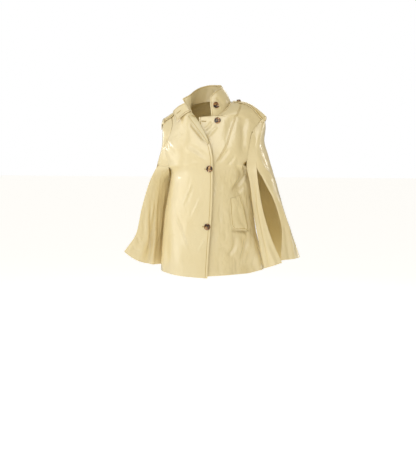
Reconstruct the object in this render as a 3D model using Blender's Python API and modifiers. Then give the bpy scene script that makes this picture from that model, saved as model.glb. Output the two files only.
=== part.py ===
"""Cape coat: a hip-length swing coat with slit cape sleeves, standing collar, throat tab and epaulettes.

Run with: blender --background --python part.py

Metres, +Z up. The wearer faces -Y and the wearer's left is +X. The origin lies on the shoulder line at the
base of the neck, where the wearer carries the coat. Every cloth piece is a thin wall lofted through sections.
A side's tables measure "out" from the centre line towards that side, so both sides share the same functions.
"""

import math
from collections import namedtuple

import bmesh
import bpy
import numpy as np
from mathutils import Matrix, Vector

# Driving sizes
CLOTH_WALL = 0.0018  # coated cloth with its facing
STRAP_WALL = 0.0026  # two layers, turned and stitched
SEAM_GAP = 0.0003  # between two walls at a seam, where they come nearest
SIDE_DRAW = 0.0008  # how far a panel's edge is drawn in at a side seam, so that turning walls stay apart
SHOULDER_DRAW = 0.0014  # the same at the shoulder seam
SLEEVE_SET_LOW = 0.0011  # how far a sleeve starts outside the armhole edge at its front and back
SLEEVE_SET_TOP = 0.0027  # the same at the shoulder, where it turns down over the edge
SLEEVE_SET_LEAN = 0.4  # share of the set-off that goes forwards or backwards
COLLAR_SET = 0.0007  # how far the collar's turned-out end starts above the neckline
COLLAR_TUCK = 0.0024  # how far inside the neckline the rest of it starts
COLLAR_DROP = 0.0020  # and how far below
FRONT_BUTTON_WIDTH = 0.030
FRONT_BUTTON_THICK = 0.0052
STRAP_BUTTON_WIDTH = 0.020
STRAP_BUTTON_THICK = 0.0042
BUTTON_CLEAR = 0.0004  # between a button's back and the highest cloth under it
BUTTON_SIDES = 20
BUTTON_PROFILE = (  # shares of the radius and of the thickness, from the back round the rim to the dish
    (0.0, 0.0), (0.86, 0.0), (1.0, 0.35), (0.96, 0.80), (0.84, 1.0), (0.66, 0.72), (0.0, 0.66),
)
SEAT_MARGIN = 1.05  # cloth within this share of a button's radius holds the button off
WELD = 0.00002  # points of two halves nearer than this are one point
MOST_DRAW = 0.45  # the largest share of a face that a draw-in may take

LEFT, RIGHT = 1, -1
FRONT, BACK = -1, 1

# Levels from the hem up to the shoulder seam, and the rows of faces from each one to the next
LEVELS = ("hem", "thigh", "hip", "waist", "underarm", "arm_low", "arm_mid", "arm_high",
          "neck_low", "collar_front", "neck_mid", "shoulder")
ROWS_ABOVE = dict(hem=2, thigh=2, hip=2, waist=2, underarm=1, arm_low=2, arm_mid=2, arm_high=2,
                  neck_low=2, collar_front=2, neck_mid=2)
BODY_COLUMNS = 12

SidePoint = namedtuple("SidePoint", "level out y z")
Armhole = namedtuple("Armhole", "level front_out front_y front_z back_out back_y back_z")
Edge = namedtuple("Edge", "level out depth z side_turn lift")
Fold = namedtuple("Fold", "across low high lean depth width")

SIDE_SEAM = {
    LEFT: (
        SidePoint("hem", 0.243, 0.000, -0.770),
        SidePoint("thigh", 0.214, 0.000, -0.660),
        SidePoint("hip", 0.192, 0.000, -0.548),
        SidePoint("waist", 0.183, 0.000, -0.430),
        SidePoint("underarm", 0.180, 0.000, -0.335),
    ),
    RIGHT: (
        SidePoint("hem", 0.250, -0.018, -0.783),
        SidePoint("thigh", 0.247, -0.014, -0.667),
        SidePoint("hip", 0.236, -0.010, -0.553),
        SidePoint("waist", 0.219, -0.005, -0.430),
        SidePoint("underarm", 0.206, 0.000, -0.335),
    ),
}
ARMHOLE = {
    LEFT: (
        Armhole("arm_low", 0.166, -0.084, -0.286, 0.170, 0.080, -0.288),
        Armhole("arm_mid", 0.176, -0.090, -0.216, 0.180, 0.088, -0.218),
        Armhole("arm_high", 0.190, -0.066, -0.130, 0.196, 0.066, -0.135),
        Armhole("neck_low", 0.212, -0.036, -0.096, 0.214, 0.036, -0.098),
        Armhole("collar_front", 0.222, -0.022, -0.080, 0.223, 0.022, -0.081),
        Armhole("neck_mid", 0.230, -0.010, -0.067, 0.230, 0.010, -0.067),
        Armhole("shoulder", 0.236, 0.000, -0.057, 0.236, 0.000, -0.057),
    ),
    RIGHT: (
        Armhole("arm_low", 0.201, -0.086, -0.286, 0.203, 0.075, -0.290),
        Armhole("arm_mid", 0.216, -0.080, -0.216, 0.215, 0.080, -0.218),
        Armhole("arm_high", 0.199, -0.068, -0.148, 0.206, 0.066, -0.150),
        Armhole("neck_low", 0.189, -0.050, -0.100, 0.196, 0.050, -0.104),
        Armhole("collar_front", 0.195, -0.028, -0.074, 0.199, 0.028, -0.076),
        Armhole("neck_mid", 0.201, -0.012, -0.060, 0.203, 0.012, -0.061),
        Armhole("shoulder", 0.205, 0.000, -0.052, 0.205, 0.000, -0.052),
    ),
}
FRONT_EDGE = {
    LEFT: (  # the underlap, its top corner, then the neckline
        Edge("hem", -0.036, 0.195, -0.792, 90, 0.0),
        Edge("thigh", -0.036, 0.186, -0.667, 90, 0.0),
        Edge("hip", -0.036, 0.178, -0.555, 90, 0.0),
        Edge("waist", -0.036, 0.168, -0.430, 90, 0.0),
        Edge("underarm", -0.036, 0.159, -0.335, 88, 0.0),
        Edge("arm_low", -0.037, 0.154, -0.270, 62, 0.0),
        Edge("arm_mid", -0.042, 0.142, -0.190, 50, 0.004),
        Edge("arm_high", -0.049, 0.122, -0.120, 40, 0.010),
        Edge("neck_low", -0.053, 0.104, -0.066, 32, 0.016),
        Edge("collar_front", 0.006, 0.101, -0.066, 26, 0.018),
        Edge("neck_mid", 0.058, 0.066, -0.034, 16, 0.021),
        Edge("shoulder", 0.080, 0.000, 0.006, 0, 0.022),
    ),
    RIGHT: (  # the overlapping edge, the roll line of the lapel, then the neckline
        Edge("hem", -0.004, 0.205, -0.798, 90, 0.0),
        Edge("thigh", -0.010, 0.197, -0.667, 90, 0.0),
        Edge("hip", -0.018, 0.190, -0.555, 90, 0.0),
        Edge("waist", -0.023, 0.181, -0.430, 90, 0.0),
        Edge("underarm", -0.023, 0.172, -0.335, 88, 0.0),
        Edge("arm_low", -0.022, 0.166, -0.265, 62, 0.0),
        Edge("arm_mid", -0.008, 0.155, -0.195, 48, 0.002),
        Edge("arm_high", 0.022, 0.136, -0.130, 40, 0.005),
        Edge("neck_low", 0.060, 0.114, -0.074, 36, 0.008),
        Edge("collar_front", 0.088, 0.094, -0.043, 30, 0.010),
        Edge("neck_mid", 0.101, 0.050, -0.022, 16, 0.010),
        Edge("shoulder", 0.105, 0.000, -0.004, 0, 0.008),
    ),
}
BACK_CENTRE = (
    Edge("hem", 0.0, 0.185, -0.790, 90, 0.0),
    Edge("thigh", 0.0, 0.176, -0.667, 90, 0.0),
    Edge("hip", 0.0, 0.167, -0.555, 90, 0.0),
    Edge("waist", 0.0, 0.158, -0.430, 90, 0.0),
    Edge("underarm", 0.0, 0.153, -0.335, 88, 0.0),
    Edge("arm_low", 0.0, 0.151, -0.265, 58, 0.0),
    Edge("arm_mid", 0.0, 0.147, -0.180, 46, 0.002),
    Edge("arm_high", 0.0, 0.127, -0.080, 40, 0.006),
    Edge("neck_low", 0.0, 0.074, 0.016, 30, 0.010),
)
BACK_NECK = {
    LEFT: (
        Edge("collar_front", 0.040, 0.066, 0.015, 24, 0.015),
        Edge("neck_mid", 0.068, 0.038, 0.011, 14, 0.019),
        Edge("shoulder", 0.080, 0.000, 0.006, 0, 0.022),
    ),
    RIGHT: (
        Edge("collar_front", 0.050, 0.066, 0.011, 24, 0.010),
        Edge("neck_mid", 0.088, 0.038, 0.003, 14, 0.010),
        Edge("shoulder", 0.105, 0.000, -0.004, 0, 0.008),
    ),
}
EDGE_FULLNESS = 0.46  # handle length over chord at a row's inner edge, for a flat front and back
SIDE_FULLNESS = 0.36  # the same at its side
FOLD_FADE = 6.0  # folds fade out over one part in this many of the row, beside the side seam
NEAR_ACROSS, NEAR_LEVEL = 0.02, 0.05  # steps to the neighbours that give a place its normal

# Folds of the body: place across the row and level numbers from hem 0 to shoulder 11
FRONT_FOLDS = {
    LEFT: (
        Fold(0.62, -1.0, 2.2, 0.05, -0.012, 0.10),
        Fold(0.80, -1.0, 1.8, 0.02, 0.010, 0.09),
        Fold(0.66, 2.6, 5.6, 0.085, -0.013, 0.08),
        Fold(0.52, 5.6, 8.6, 0.02, -0.009, 0.09),
    ),
    RIGHT: (
        Fold(0.36, -1.0, 2.4, 0.03, 0.006, 0.14),
        Fold(0.62, -1.0, 2.6, 0.03, -0.008, 0.12),
        Fold(0.50, 3.2, 6.6, -0.03, -0.006, 0.12),
    ),
}
BACK_FOLDS = (
    Fold(0.22, -1.0, 3.6, 0.02, 0.012, 0.10),
    Fold(0.46, -1.0, 3.2, 0.02, -0.012, 0.10),
    Fold(0.70, -1.0, 3.4, 0.01, 0.010, 0.10),
)


def to_metres(side, out, y, z):
    return np.array((side * out, y, z), float)


def monotone(knots, values, at):
    """Smooth values through a table's column, with no overshoot between its rows."""
    knots, values = np.asarray(knots, float), np.asarray(values, float)
    steps = np.diff(knots)[:, None]
    slopes = np.diff(values, axis=0) / steps
    tangents = np.zeros_like(values)
    before, after = slopes[:-1], slopes[1:]
    same_way = before * after > 0
    together = np.where(same_way, before + after, 1.0)
    tangents[1:-1] = np.where(same_way, 2.0 * before * after / together, 0.0)
    tangents[0], tangents[-1] = slopes[0], slopes[-1]
    span = int(np.clip(np.searchsorted(knots, at, side="right") - 1, 0, len(steps) - 1))
    step = steps[span, 0]
    t = (at - knots[span]) / step
    return (
        values[span] * (1 + 2 * t) * (1 - t) ** 2
        + tangents[span] * step * t * (1 - t) ** 2
        + values[span + 1] * t * t * (3 - 2 * t)
        + tangents[span + 1] * step * t * t * (t - 1)
    )


def level_numbers():
    """The level number of each row of points on a body panel."""
    numbers = []
    for place, name in enumerate(LEVELS[:-1]):
        numbers += [place + step / ROWS_ABOVE[name] for step in range(ROWS_ABOVE[name])]
    return numbers + [len(LEVELS) - 1]


def outer_end(side, facing, level):
    """The side seam below the arm and the armhole edge above it, as out, y and z."""
    near, far = (slice(1, 4), slice(4, 7)) if facing == FRONT else (slice(4, 7), slice(1, 4))
    rows = [row[1:] for row in SIDE_SEAM[side]] + [row[near] for row in ARMHOLE[side]]
    rows.append(ARMHOLE[side][-2][far])  # over the shoulder, so that the ridge is smooth
    return monotone(range(len(rows)), rows, level)


def inner_edge(side, facing, level):
    """The front edge, centre back and neckline, as out, depth, z, side_turn and lift."""
    front, back = FRONT_EDGE[side], BACK_CENTRE + BACK_NECK[side]
    near, far = (front, back) if facing == FRONT else (back, front)
    over = far[-2]
    rows = [row[1:] for row in near] + [(over.out, -over.depth, over.z, -over.side_turn, over.lift)]
    return monotone(range(len(rows)), rows, level)


def fold_depth(folds, across, level):
    """How far the folds move a point outwards."""
    moved = 0.0
    for fold in folds:
        middle = 0.5 * (fold.low + fold.high)
        reach = 0.5 * (fold.high - fold.low)
        along = (level - middle) / reach
        if abs(along) < 1.0:
            aside = (across - fold.across - fold.lean * (level - middle)) / fold.width
            moved += fold.depth * math.exp(-aside * aside) * math.cos(0.5 * math.pi * along) ** 2
    return moved * min(1.0, FOLD_FADE * (1.0 - across))


def body_row(side, facing, level, columns):
    """One row of a body panel, from its inner edge round to its side seam or armhole."""
    edge_out, edge_depth, edge_z, side_turn, lift = inner_edge(side, facing, level)
    side_out, side_y, side_z = outer_end(side, facing, level)
    start = np.array((edge_out, edge_depth))
    end = np.array((side_out, facing * side_y))
    chord = np.linalg.norm(end - start)
    turn = math.radians(side_turn)
    leave = start + EDGE_FULLNESS * chord * np.array((1.0, 0.0))
    arrive = end - SIDE_FULLNESS * chord * np.array((math.cos(turn), -math.sin(turn)))
    points = []
    for t in columns:
        out, depth = ((1 - t) ** 3 * start + 3 * t * (1 - t) ** 2 * leave
                      + 3 * t * t * (1 - t) * arrive + t ** 3 * end)
        z = edge_z + (side_z - edge_z) * t + 4.0 * lift * t * (1.0 - t)
        points.append(to_metres(side, out, facing * depth, z))
    return points


def normals_of(grid):
    """Unit normals of a grid of points, by the steps across and along it."""
    across = np.gradient(grid, axis=1)
    along = np.gradient(grid, axis=0)
    normal = np.cross(across, along)
    return normal / np.maximum(np.linalg.norm(normal, axis=2, keepdims=True), 1e-12)


def body_grid(side, facing, folds, levels=None, columns=None):
    """A body panel's points, row by row from the hem, with its folds, and its outward normals."""
    levels = level_numbers() if levels is None else levels
    columns = np.linspace(0.0, 1.0, BODY_COLUMNS + 1) if columns is None else columns
    grid = np.array([body_row(side, facing, level, columns) for level in levels])
    outward = normals_of(grid) * (-side * facing)
    moved = np.array([[fold_depth(folds, t, level) for t in columns] for level in levels])
    grid = grid + moved[:, :, None] * outward
    return grid, normals_of(grid) * (-side * facing)


def drawn_in(grid, first_row=0.0, last_row=0.0, first_column=0.0, last_column=0.0):
    """The grid with its edges moved in, each towards the next line of points, to leave a seam gap."""
    grid = grid.copy()
    for index, inner, gap in ((0, 1, first_row), (-1, -2, last_row)):
        step = grid[inner] - grid[index]
        length = np.maximum(np.linalg.norm(step, axis=1, keepdims=True), 1e-9)
        grid[index] += step * np.minimum(gap / length, MOST_DRAW)
    for index, inner, gap in ((0, 1, first_column), (-1, -2, last_column)):
        step = grid[:, inner] - grid[:, index]
        length = np.maximum(np.linalg.norm(step, axis=1, keepdims=True), 1e-9)
        grid[:, index] += step * np.minimum(gap / length, MOST_DRAW)
    return grid


# Sleeve rings from the sleeve head down to the cuff, and the rows of faces from each one to the next
RINGS = ("head", "cap", "arm_mid", "arm_low", "elbow", "forearm", "wrist", "cuff")
ROWS_BELOW = dict(head=2, cap=1, arm_mid=2, arm_low=2, elbow=2, forearm=2, wrist=2)
ARMHOLE_LEVELS = (7.0, 6.5, 6.0, 5.0)  # the armhole level beside the rings head to arm_low
OUTER_COLUMNS = 10
STRIP_COLUMNS = 8
SLIT_DRAW = {LEFT: 0.0003, RIGHT: 0.0014}  # how far the strip is drawn in where it meets the outer piece
STRIP_START = 0.2  # ring number where the front strip begins as a point beside the armhole

Ring = namedtuple("Ring", "ring front_out front_y front_z side_out side_y side_z back_out back_y back_z")
Strip = namedtuple("Strip", "ring inner_out inner_y inner_z slit_out slit_y slit_z bow dip")

SLEEVE_OUTER = {  # the back columns of cap, arm_mid and arm_low follow the armhole
    LEFT: (
        Ring("cap", 0.2055, -0.070, -0.165, 0.2425, 0.000, -0.095, 0.0, 0.0, 0.0),
        Ring("arm_mid", 0.2075, -0.080, -0.205, 0.2380, 0.002, -0.165, 0.0, 0.0, 0.0),
        Ring("arm_low", 0.2115, -0.086, -0.284, 0.2580, 0.004, -0.245, 0.0, 0.0, 0.0),
        Ring("elbow", 0.2450, -0.075, -0.355, 0.2920, 0.006, -0.365, 0.192, 0.100, -0.385),
        Ring("forearm", 0.3000, -0.062, -0.470, 0.3340, 0.008, -0.497, 0.212, 0.115, -0.510),
        Ring("wrist", 0.3300, -0.058, -0.600, 0.3680, 0.010, -0.608, 0.236, 0.124, -0.640),
        Ring("cuff", 0.3270, -0.078, -0.722, 0.4050, 0.010, -0.717, 0.264, 0.135, -0.762),
    ),
    RIGHT: (
        Ring("cap", 0.2120, -0.066, -0.172, 0.2460, 0.000, -0.088, 0.0, 0.0, 0.0),
        Ring("arm_mid", 0.2300, -0.070, -0.212, 0.2430, 0.004, -0.165, 0.0, 0.0, 0.0),
        Ring("arm_low", 0.2580, -0.072, -0.287, 0.2620, 0.012, -0.270, 0.0, 0.0, 0.0),
        Ring("elbow", 0.2850, -0.030, -0.372, 0.2880, 0.030, -0.375, 0.226, 0.105, -0.385),
        Ring("forearm", 0.3120, -0.008, -0.490, 0.3140, 0.050, -0.495, 0.244, 0.120, -0.510),
        Ring("wrist", 0.3350, 0.000, -0.610, 0.3380, 0.060, -0.620, 0.260, 0.130, -0.640),
        Ring("cuff", 0.3620, 0.008, -0.715, 0.3640, 0.075, -0.725, 0.285, 0.140, -0.765),
    ),
}
SLEEVE_FRONT = {
    LEFT: (
        Strip("elbow", 0.182, -0.086, -0.370, 0.222, -0.095, -0.370, 0.003, 0.0),
        Strip("forearm", 0.196, -0.080, -0.487, 0.245, -0.098, -0.494, 0.005, 0.0),
        Strip("wrist", 0.222, -0.084, -0.630, 0.285, -0.105, -0.620, 0.007, 0.0),
        Strip("cuff", 0.252, -0.088, -0.762, 0.335, -0.108, -0.731, 0.008, 0.0),
    ),
    RIGHT: (
        Strip("elbow", 0.2160, 0.010, -0.372, 0.297, -0.074, -0.370, 0.016, 0.0),
        Strip("forearm", 0.2325, 0.014, -0.495, 0.334, -0.080, -0.495, 0.022, 0.0),
        Strip("wrist", 0.2495, 0.014, -0.640, 0.357, -0.086, -0.605, 0.026, 0.010),
        Strip("cuff", 0.2560, 0.014, -0.766, 0.418, -0.092, -0.698, 0.028, 0.018),
    ),
}
OUTER_FOLDS = {
    LEFT: (Fold(0.28, 3.6, 8.4, 0.01, 0.008, 0.10), Fold(0.62, 3.8, 8.4, 0.01, -0.014, 0.12)),
    RIGHT: (Fold(0.35, 3.6, 8.4, 0.01, -0.010, 0.12), Fold(0.66, 3.8, 8.4, 0.01, 0.010, 0.12)),
}
STRIP_FOLDS = {
    LEFT: (Fold(0.50, 4.2, 8.6, 0.02, 0.005, 0.22),),
    RIGHT: (
        Fold(0.60, 4.0, 9.0, 0.01, 0.008, 0.12),
        Fold(0.43, 4.2, 9.0, 0.01, -0.010, 0.08),
        Fold(0.26, 4.2, 8.8, 0.00, 0.006, 0.10),
    ),
}


def beside_armhole(side, facing, level):
    """An armhole point moved out by the sleeve's set-off."""
    out, y, z = outer_end(side, facing, level)
    top = max(0.0, level - ARMHOLE_LEVELS[0]) / (len(LEVELS) - 1 - ARMHOLE_LEVELS[0])
    away = SLEEVE_SET_LOW + (SLEEVE_SET_TOP - SLEEVE_SET_LOW) * top
    return np.array((out + away, y + SLEEVE_SET_LEAN * facing * away, z))


def armhole_level(ring):
    return float(np.interp(ring, range(len(ARMHOLE_LEVELS)), ARMHOLE_LEVELS))


def head_ring(side, columns):
    """The sleeve head's edge, from the front of the armhole over the shoulder to its back."""
    low, high = ARMHOLE_LEVELS[0], len(LEVELS) - 1
    points = []
    for t in columns:
        facing = FRONT if t < 0.5 else BACK
        points.append(beside_armhole(side, facing, low + (high - low) * (1.0 - abs(2.0 * t - 1.0))))
    return points


def ring_points(side, row, columns):
    """A ring's quarter arcs from the slit round the outermost point to the back edge."""
    front, middle, back = np.array(row[1:4]), np.array(row[4:7]), np.array(row[7:10])
    attached = RINGS.index(row.ring) < len(ARMHOLE_LEVELS)
    if attached:
        back = beside_armhole(side, BACK, armhole_level(RINGS.index(row.ring)))
    points = []
    for t in columns:
        turn = math.pi * (t if t < 0.5 else t - 0.5)
        early, late = math.sin(turn), 1.0 - math.cos(turn)
        if t < 0.5:
            share = np.array((early, late, 2.0 * t))
            points.append(front + (middle - front) * share)
        else:
            share = np.array((late, early, 2.0 * t - 1.0))
            points.append(middle + (back - middle) * share)
    return points


def ring_numbers(start=0.0):
    numbers = []
    for place, name in enumerate(RINGS[:-1]):
        numbers += [place + step / ROWS_BELOW[name] for step in range(ROWS_BELOW[name])]
    numbers.append(len(RINGS) - 1)
    return [max(number, start) for number in numbers]


def outer_points(side, rings, columns):
    """Points of the sleeve's outer and back piece before its folds, as out, y and z."""
    knots = range(len(RINGS))
    control = [head_ring(side, columns)] + [ring_points(side, row, columns) for row in SLEEVE_OUTER[side]]
    control = np.array(control)
    grid = np.array([[monotone(knots, control[:, place], ring) for place in range(len(columns))]
                     for ring in rings])
    last_attached = len(ARMHOLE_LEVELS) - 1
    for row, ring in enumerate(rings):
        if ring <= last_attached and columns[-1] == 1.0:
            grid[row, -1] = beside_armhole(side, BACK, armhole_level(ring))
    return grid


def strip_points(side, rings, columns):
    """Points of the sleeve's front piece, from the armhole or its free edge to the seam or slit."""
    last_attached = len(ARMHOLE_LEVELS) - 1
    seam = outer_points(side, range(len(ARMHOLE_LEVELS)), [0.0])[:, 0]
    knots = list(range(last_attached + 1)) + [RINGS.index(row.ring) for row in SLEEVE_FRONT[side]]
    armhole = [beside_armhole(side, FRONT, armhole_level(ring)) for ring in range(last_attached + 1)]
    inner = np.array(armhole + [np.array(row[1:4]) for row in SLEEVE_FRONT[side]])
    slit = np.array(list(seam) + [np.array(row[4:7]) for row in SLEEVE_FRONT[side]])
    shapes = [(0.0, 0.0)] * (last_attached + 1) + [(row.bow, row.dip) for row in SLEEVE_FRONT[side]]
    grid = []
    for ring in rings:
        start, end = monotone(knots, inner, ring), monotone(knots, slit, ring)
        if ring <= last_attached:
            start = beside_armhole(side, FRONT, armhole_level(ring))
            end = outer_points(side, [ring], [0.0])[0, 0]
        bow, dip = monotone(knots, shapes, ring)
        grid.append([start + (end - start) * t - 4.0 * t * (1.0 - t) * np.array((0.0, bow, dip))
                     for t in columns])
    return np.array(grid)


def sleeve_grid(points, side, rings, columns, folds, flip):
    """A sleeve piece's points in metres with its folds, and its outward normals."""
    grid = points.copy()
    grid[:, :, 0] *= side
    outward = normals_of(grid) * flip
    moved = np.array([[fold_depth(folds, t, ring) for t in columns] for ring in rings])
    grid = grid + moved[:, :, None] * outward
    return grid, normals_of(grid) * flip


def outer_sleeve(side, rings=None, columns=None):
    rings = ring_numbers() if rings is None else rings
    columns = np.linspace(0.0, 1.0, OUTER_COLUMNS + 1) if columns is None else columns
    return sleeve_grid(outer_points(side, rings, columns), side, rings, columns, OUTER_FOLDS[side], -side)


def front_strip(side):
    rings = ring_numbers(STRIP_START)
    columns = np.linspace(0.0, 1.0, STRIP_COLUMNS + 1)
    return sleeve_grid(strip_points(side, rings, columns), side, rings, columns, STRIP_FOLDS[side], -side)


# The collar stands on the neckline, from the right front round the back to the left front
CollarTop = namedtuple("CollarTop", "place x y z bow tucked")
NECKLINE = (
    [(RIGHT, FRONT, level) for level in (9.0, 9.5, 10.0, 10.5, 11.0)]
    + [(RIGHT, BACK, level) for level in (10.5, 10.0, 9.5, 9.0, 8.5, 8.0)]
    + [(LEFT, BACK, level) for level in (8.5, 9.0, 9.5, 10.0, 10.5, 11.0)]
    + [(LEFT, FRONT, level) for level in (10.5, 10.0, 9.5, 9.0)]
)
COLLAR_TOP = (  # the right end is turned out, the rest leans in
    CollarTop(0, -0.139, -0.062, 0.020, 0.004, 0.0),
    CollarTop(2, -0.106, -0.030, 0.044, 0.002, 0.0),
    CollarTop(4, -0.094, 0.008, 0.062, 0.000, 1.0),
    CollarTop(6, -0.068, 0.045, 0.080, 0.002, 1.0),
    CollarTop(10, -0.022, 0.062, 0.090, 0.004, 1.0),
    CollarTop(14, 0.022, 0.045, 0.088, 0.004, 1.0),
    CollarTop(16, 0.036, 0.004, 0.077, 0.006, 1.0),
    CollarTop(18, 0.018, -0.046, 0.058, 0.008, 1.0),
    CollarTop(20, -0.006, -0.078, 0.027, 0.006, 1.0),
)
COLLAR_ROWS = 4


def collar_grid(heights=None):
    """The collar's points, a column for each neckline point, and its outward normals."""
    heights = np.linspace(0.0, 1.0, COLLAR_ROWS + 1) if heights is None else heights
    knots = [row.place for row in COLLAR_TOP]
    columns = []
    for place, (side, facing, level) in enumerate(NECKLINE):
        out, depth, z = inner_edge(side, facing, level)[:3]
        top_x, top_y, top_z, bow, tucked = monotone(knots, [row[1:] for row in COLLAR_TOP], place)
        base, top = to_metres(side, out, facing * depth, z), np.array((top_x, top_y, top_z))
        outward = np.array((base[0] + top[0], base[1] + top[1], 0.0))
        outward /= np.linalg.norm(outward)
        base -= outward * tucked * COLLAR_TUCK
        base[2] += COLLAR_SET * (1.0 - tucked) - COLLAR_DROP * tucked
        columns.append([base + (top - base) * t + outward * 4.0 * bow * t * (1.0 - t) for t in heights])
    grid = np.array(columns).transpose(1, 0, 2)
    return grid, -normals_of(grid)


# Throat tab: shares of the collar's turned-out end where it is sewn on, and its free corners
TAB_SEWN_LOW, TAB_SEWN_HIGH = 0.12, 0.72
TAB_FREE_LOW = np.array((-0.159, -0.102, -0.083))
TAB_FREE_HIGH = np.array((-0.190, -0.038, -0.036))
TAB_RISE = (0.0, -0.003, 0.005)  # how the tab arches between its ends
TAB_CLEAR = 0.0008  # between the tab and the collar's end
TAB_COLUMNS, TAB_ROWS = 4, 4

# Turned-back facing of the right front: body level, and its free edge in metres
Facing = namedtuple("Facing", "level free_x free_y free_z")
FACING = (
    Facing(6.2, -0.003, -0.160, -0.188),
    Facing(7.0, -0.034, -0.150, -0.147),
    Facing(8.0, -0.075, -0.131, -0.098),
    Facing(9.0, -0.103, -0.114, -0.064),
)
FACING_ROWS, FACING_COLUMNS = 8, 3

# Pocket flap on the left front: a place across the panel and a body level, and how far it stands off
FlapCorner = namedtuple("FlapCorner", "across level stand")
FLAP_TOP_INNER = FlapCorner(0.395, 2.93, 0.0002)
FLAP_TOP_OUTER = FlapCorner(0.610, 3.08, 0.0012)
FLAP_BOTTOM_INNER = FlapCorner(0.402, 1.84, 0.0016)
FLAP_BOTTOM_OUTER = FlapCorner(0.690, 1.72, 0.0110)
FLAP_ROWS, FLAP_COLUMNS = 6, 5

# Epaulettes: share of the shoulder seam where each starts, how far it runs down the sleeve head in rings,
# the loop's place along it, the room between strap and loop, which is larger where the strap turns down,
# and the strap's rows of faces
Epaulette = namedtuple("Epaulette", "start end loop clear rows")
EPAULETTES = {LEFT: Epaulette(0.05, 0.45, 0.857, 0.0015, 10), RIGHT: Epaulette(0.22, 1.30, 0.70, 0.0006, 9)}
STRAP_HALF_WIDTH = 0.019
STRAP_LIFT = 0.0024
STRAP_ACROSS = (-1.0, -0.5, 0.0, 0.5, 1.0)  # shares of the half width
STRAP_POINT = 0.18  # half width of the pointed inner end over the strap's
SHOULDER_REACH = 0.985  # share of the shoulder seam where a strap crosses to the sleeve head
SHOULDER_SAMPLES, HEAD_SAMPLES = 17, 41
LOOP_ACROSS = (-1.42, -1.18, -0.6, 0.0, 0.6, 1.18, 1.42)
LOOP_HALF_LENGTH = 0.005
LOOP_WALL = 0.0016
LOOP_SEAT = 0.0006  # between the loop's sewn ends and the cloth under them

# Buttons: (panel side, place across, body level) or a place on the collar
MIDDLE_BUTTON = (RIGHT, 0.042, 4.47)
LOW_BUTTON = (RIGHT, 0.038, 1.93)
CHEST_BUTTON = (LEFT, 0.275, 7.50)
COLLAR_BUTTON = (19, 0.46)


def tab_grid(collar):
    end = collar[:, 0]
    away = collar[1, 0] - collar[1, 1]
    away *= (STRAP_WALL + TAB_CLEAR) / np.linalg.norm(away)
    rise = np.array(TAB_RISE)
    heights = np.linspace(0.0, 1.0, len(end))
    grid = []
    for row in np.linspace(0.0, 1.0, TAB_ROWS + 1):
        share = TAB_SEWN_LOW + (TAB_SEWN_HIGH - TAB_SEWN_LOW) * row
        sewn = np.array([np.interp(share, heights, end[:, axis]) for axis in range(3)]) + away
        free = TAB_FREE_LOW + (TAB_FREE_HIGH - TAB_FREE_LOW) * row
        grid.append([sewn + (free - sewn) * t + rise * 4.0 * t * (1.0 - t)
                     for t in np.linspace(0.0, 1.0, TAB_COLUMNS + 1)])
    return np.array(grid)


def facing_grid():
    levels = np.linspace(FACING[0].level, FACING[-1].level, FACING_ROWS + 1)
    panel, outward = body_grid(RIGHT, FRONT, FRONT_FOLDS[RIGHT], levels, np.linspace(0.0, 0.2, 3))
    grid = []
    for row, level in enumerate(levels):
        roll = panel[row, 0] + outward[row, 0] * (CLOTH_WALL + 2.0 * SEAM_GAP)
        free = monotone([f.level for f in FACING], [f[1:] for f in FACING], level)
        grid.append([roll + (free - roll) * t for t in np.linspace(0.0, 1.0, FACING_COLUMNS + 1)])
    return np.array(grid)


def panel_place(side, across, level):
    """A front panel's point and outward normal at a place across it and a body level."""
    levels = (level - NEAR_LEVEL, level, level + NEAR_LEVEL)
    columns = (across - NEAR_ACROSS, across, across + NEAR_ACROSS)
    panel, outward = body_grid(side, FRONT, FRONT_FOLDS[side], levels, columns)
    return panel[1, 1], outward[1, 1]


def flap_grid():
    bottom = np.array((FLAP_BOTTOM_INNER, FLAP_BOTTOM_OUTER))
    top = np.array((FLAP_TOP_INNER, FLAP_TOP_OUTER))
    grid = []
    for row in np.linspace(0.0, 1.0, FLAP_ROWS + 1):
        inner, outer = bottom + (top - bottom) * row
        points = []
        for t in np.linspace(0.0, 1.0, FLAP_COLUMNS + 1):
            across, level, stand = inner + (outer - inner) * t
            point, outward = panel_place(LEFT, across, level)
            points.append(point + outward * (CLOTH_WALL + stand))
        grid.append(points)
    return np.array(grid)


def shoulder_point(side, share, y):
    """A point of the shoulder at a share of its seam and a distance in front of it or behind it."""
    facing = FRONT if y < 0.0 else BACK
    levels = np.linspace(len(LEVELS) - 1, ARMHOLE_LEVELS[0], SHOULDER_SAMPLES)
    line = np.array([body_row(side, facing, level, (share,))[0] for level in levels])
    reach = np.maximum.accumulate(np.abs(line[:, 1]))
    return np.array([np.interp(abs(y), reach, line[:, axis]) for axis in range(3)])


def head_point(side, ring, y):
    """A point of the sleeve head at a ring number and a distance in front of its middle or behind it."""
    columns = np.linspace(0.0, 1.0, HEAD_SAMPLES)
    line = outer_points(side, [ring], columns)[0]
    order = np.argsort(line[:, 1])
    point = np.array([np.interp(y, line[order, 1], line[order, axis]) for axis in range(3)])
    point[0] *= side
    return point


def strap_base(side, shares, half_widths, across):
    """Points under an epaulette: shares up to 1 lie on the shoulder and the rest on the sleeve head."""
    grid = []
    for share, half in zip(shares, half_widths):
        if share <= 1.0:
            grid.append([shoulder_point(side, min(share, SHOULDER_REACH), half * part) for part in across])
        else:
            grid.append([head_point(side, share - 1.0, half * part) for part in across])
    return np.array(grid)


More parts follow.
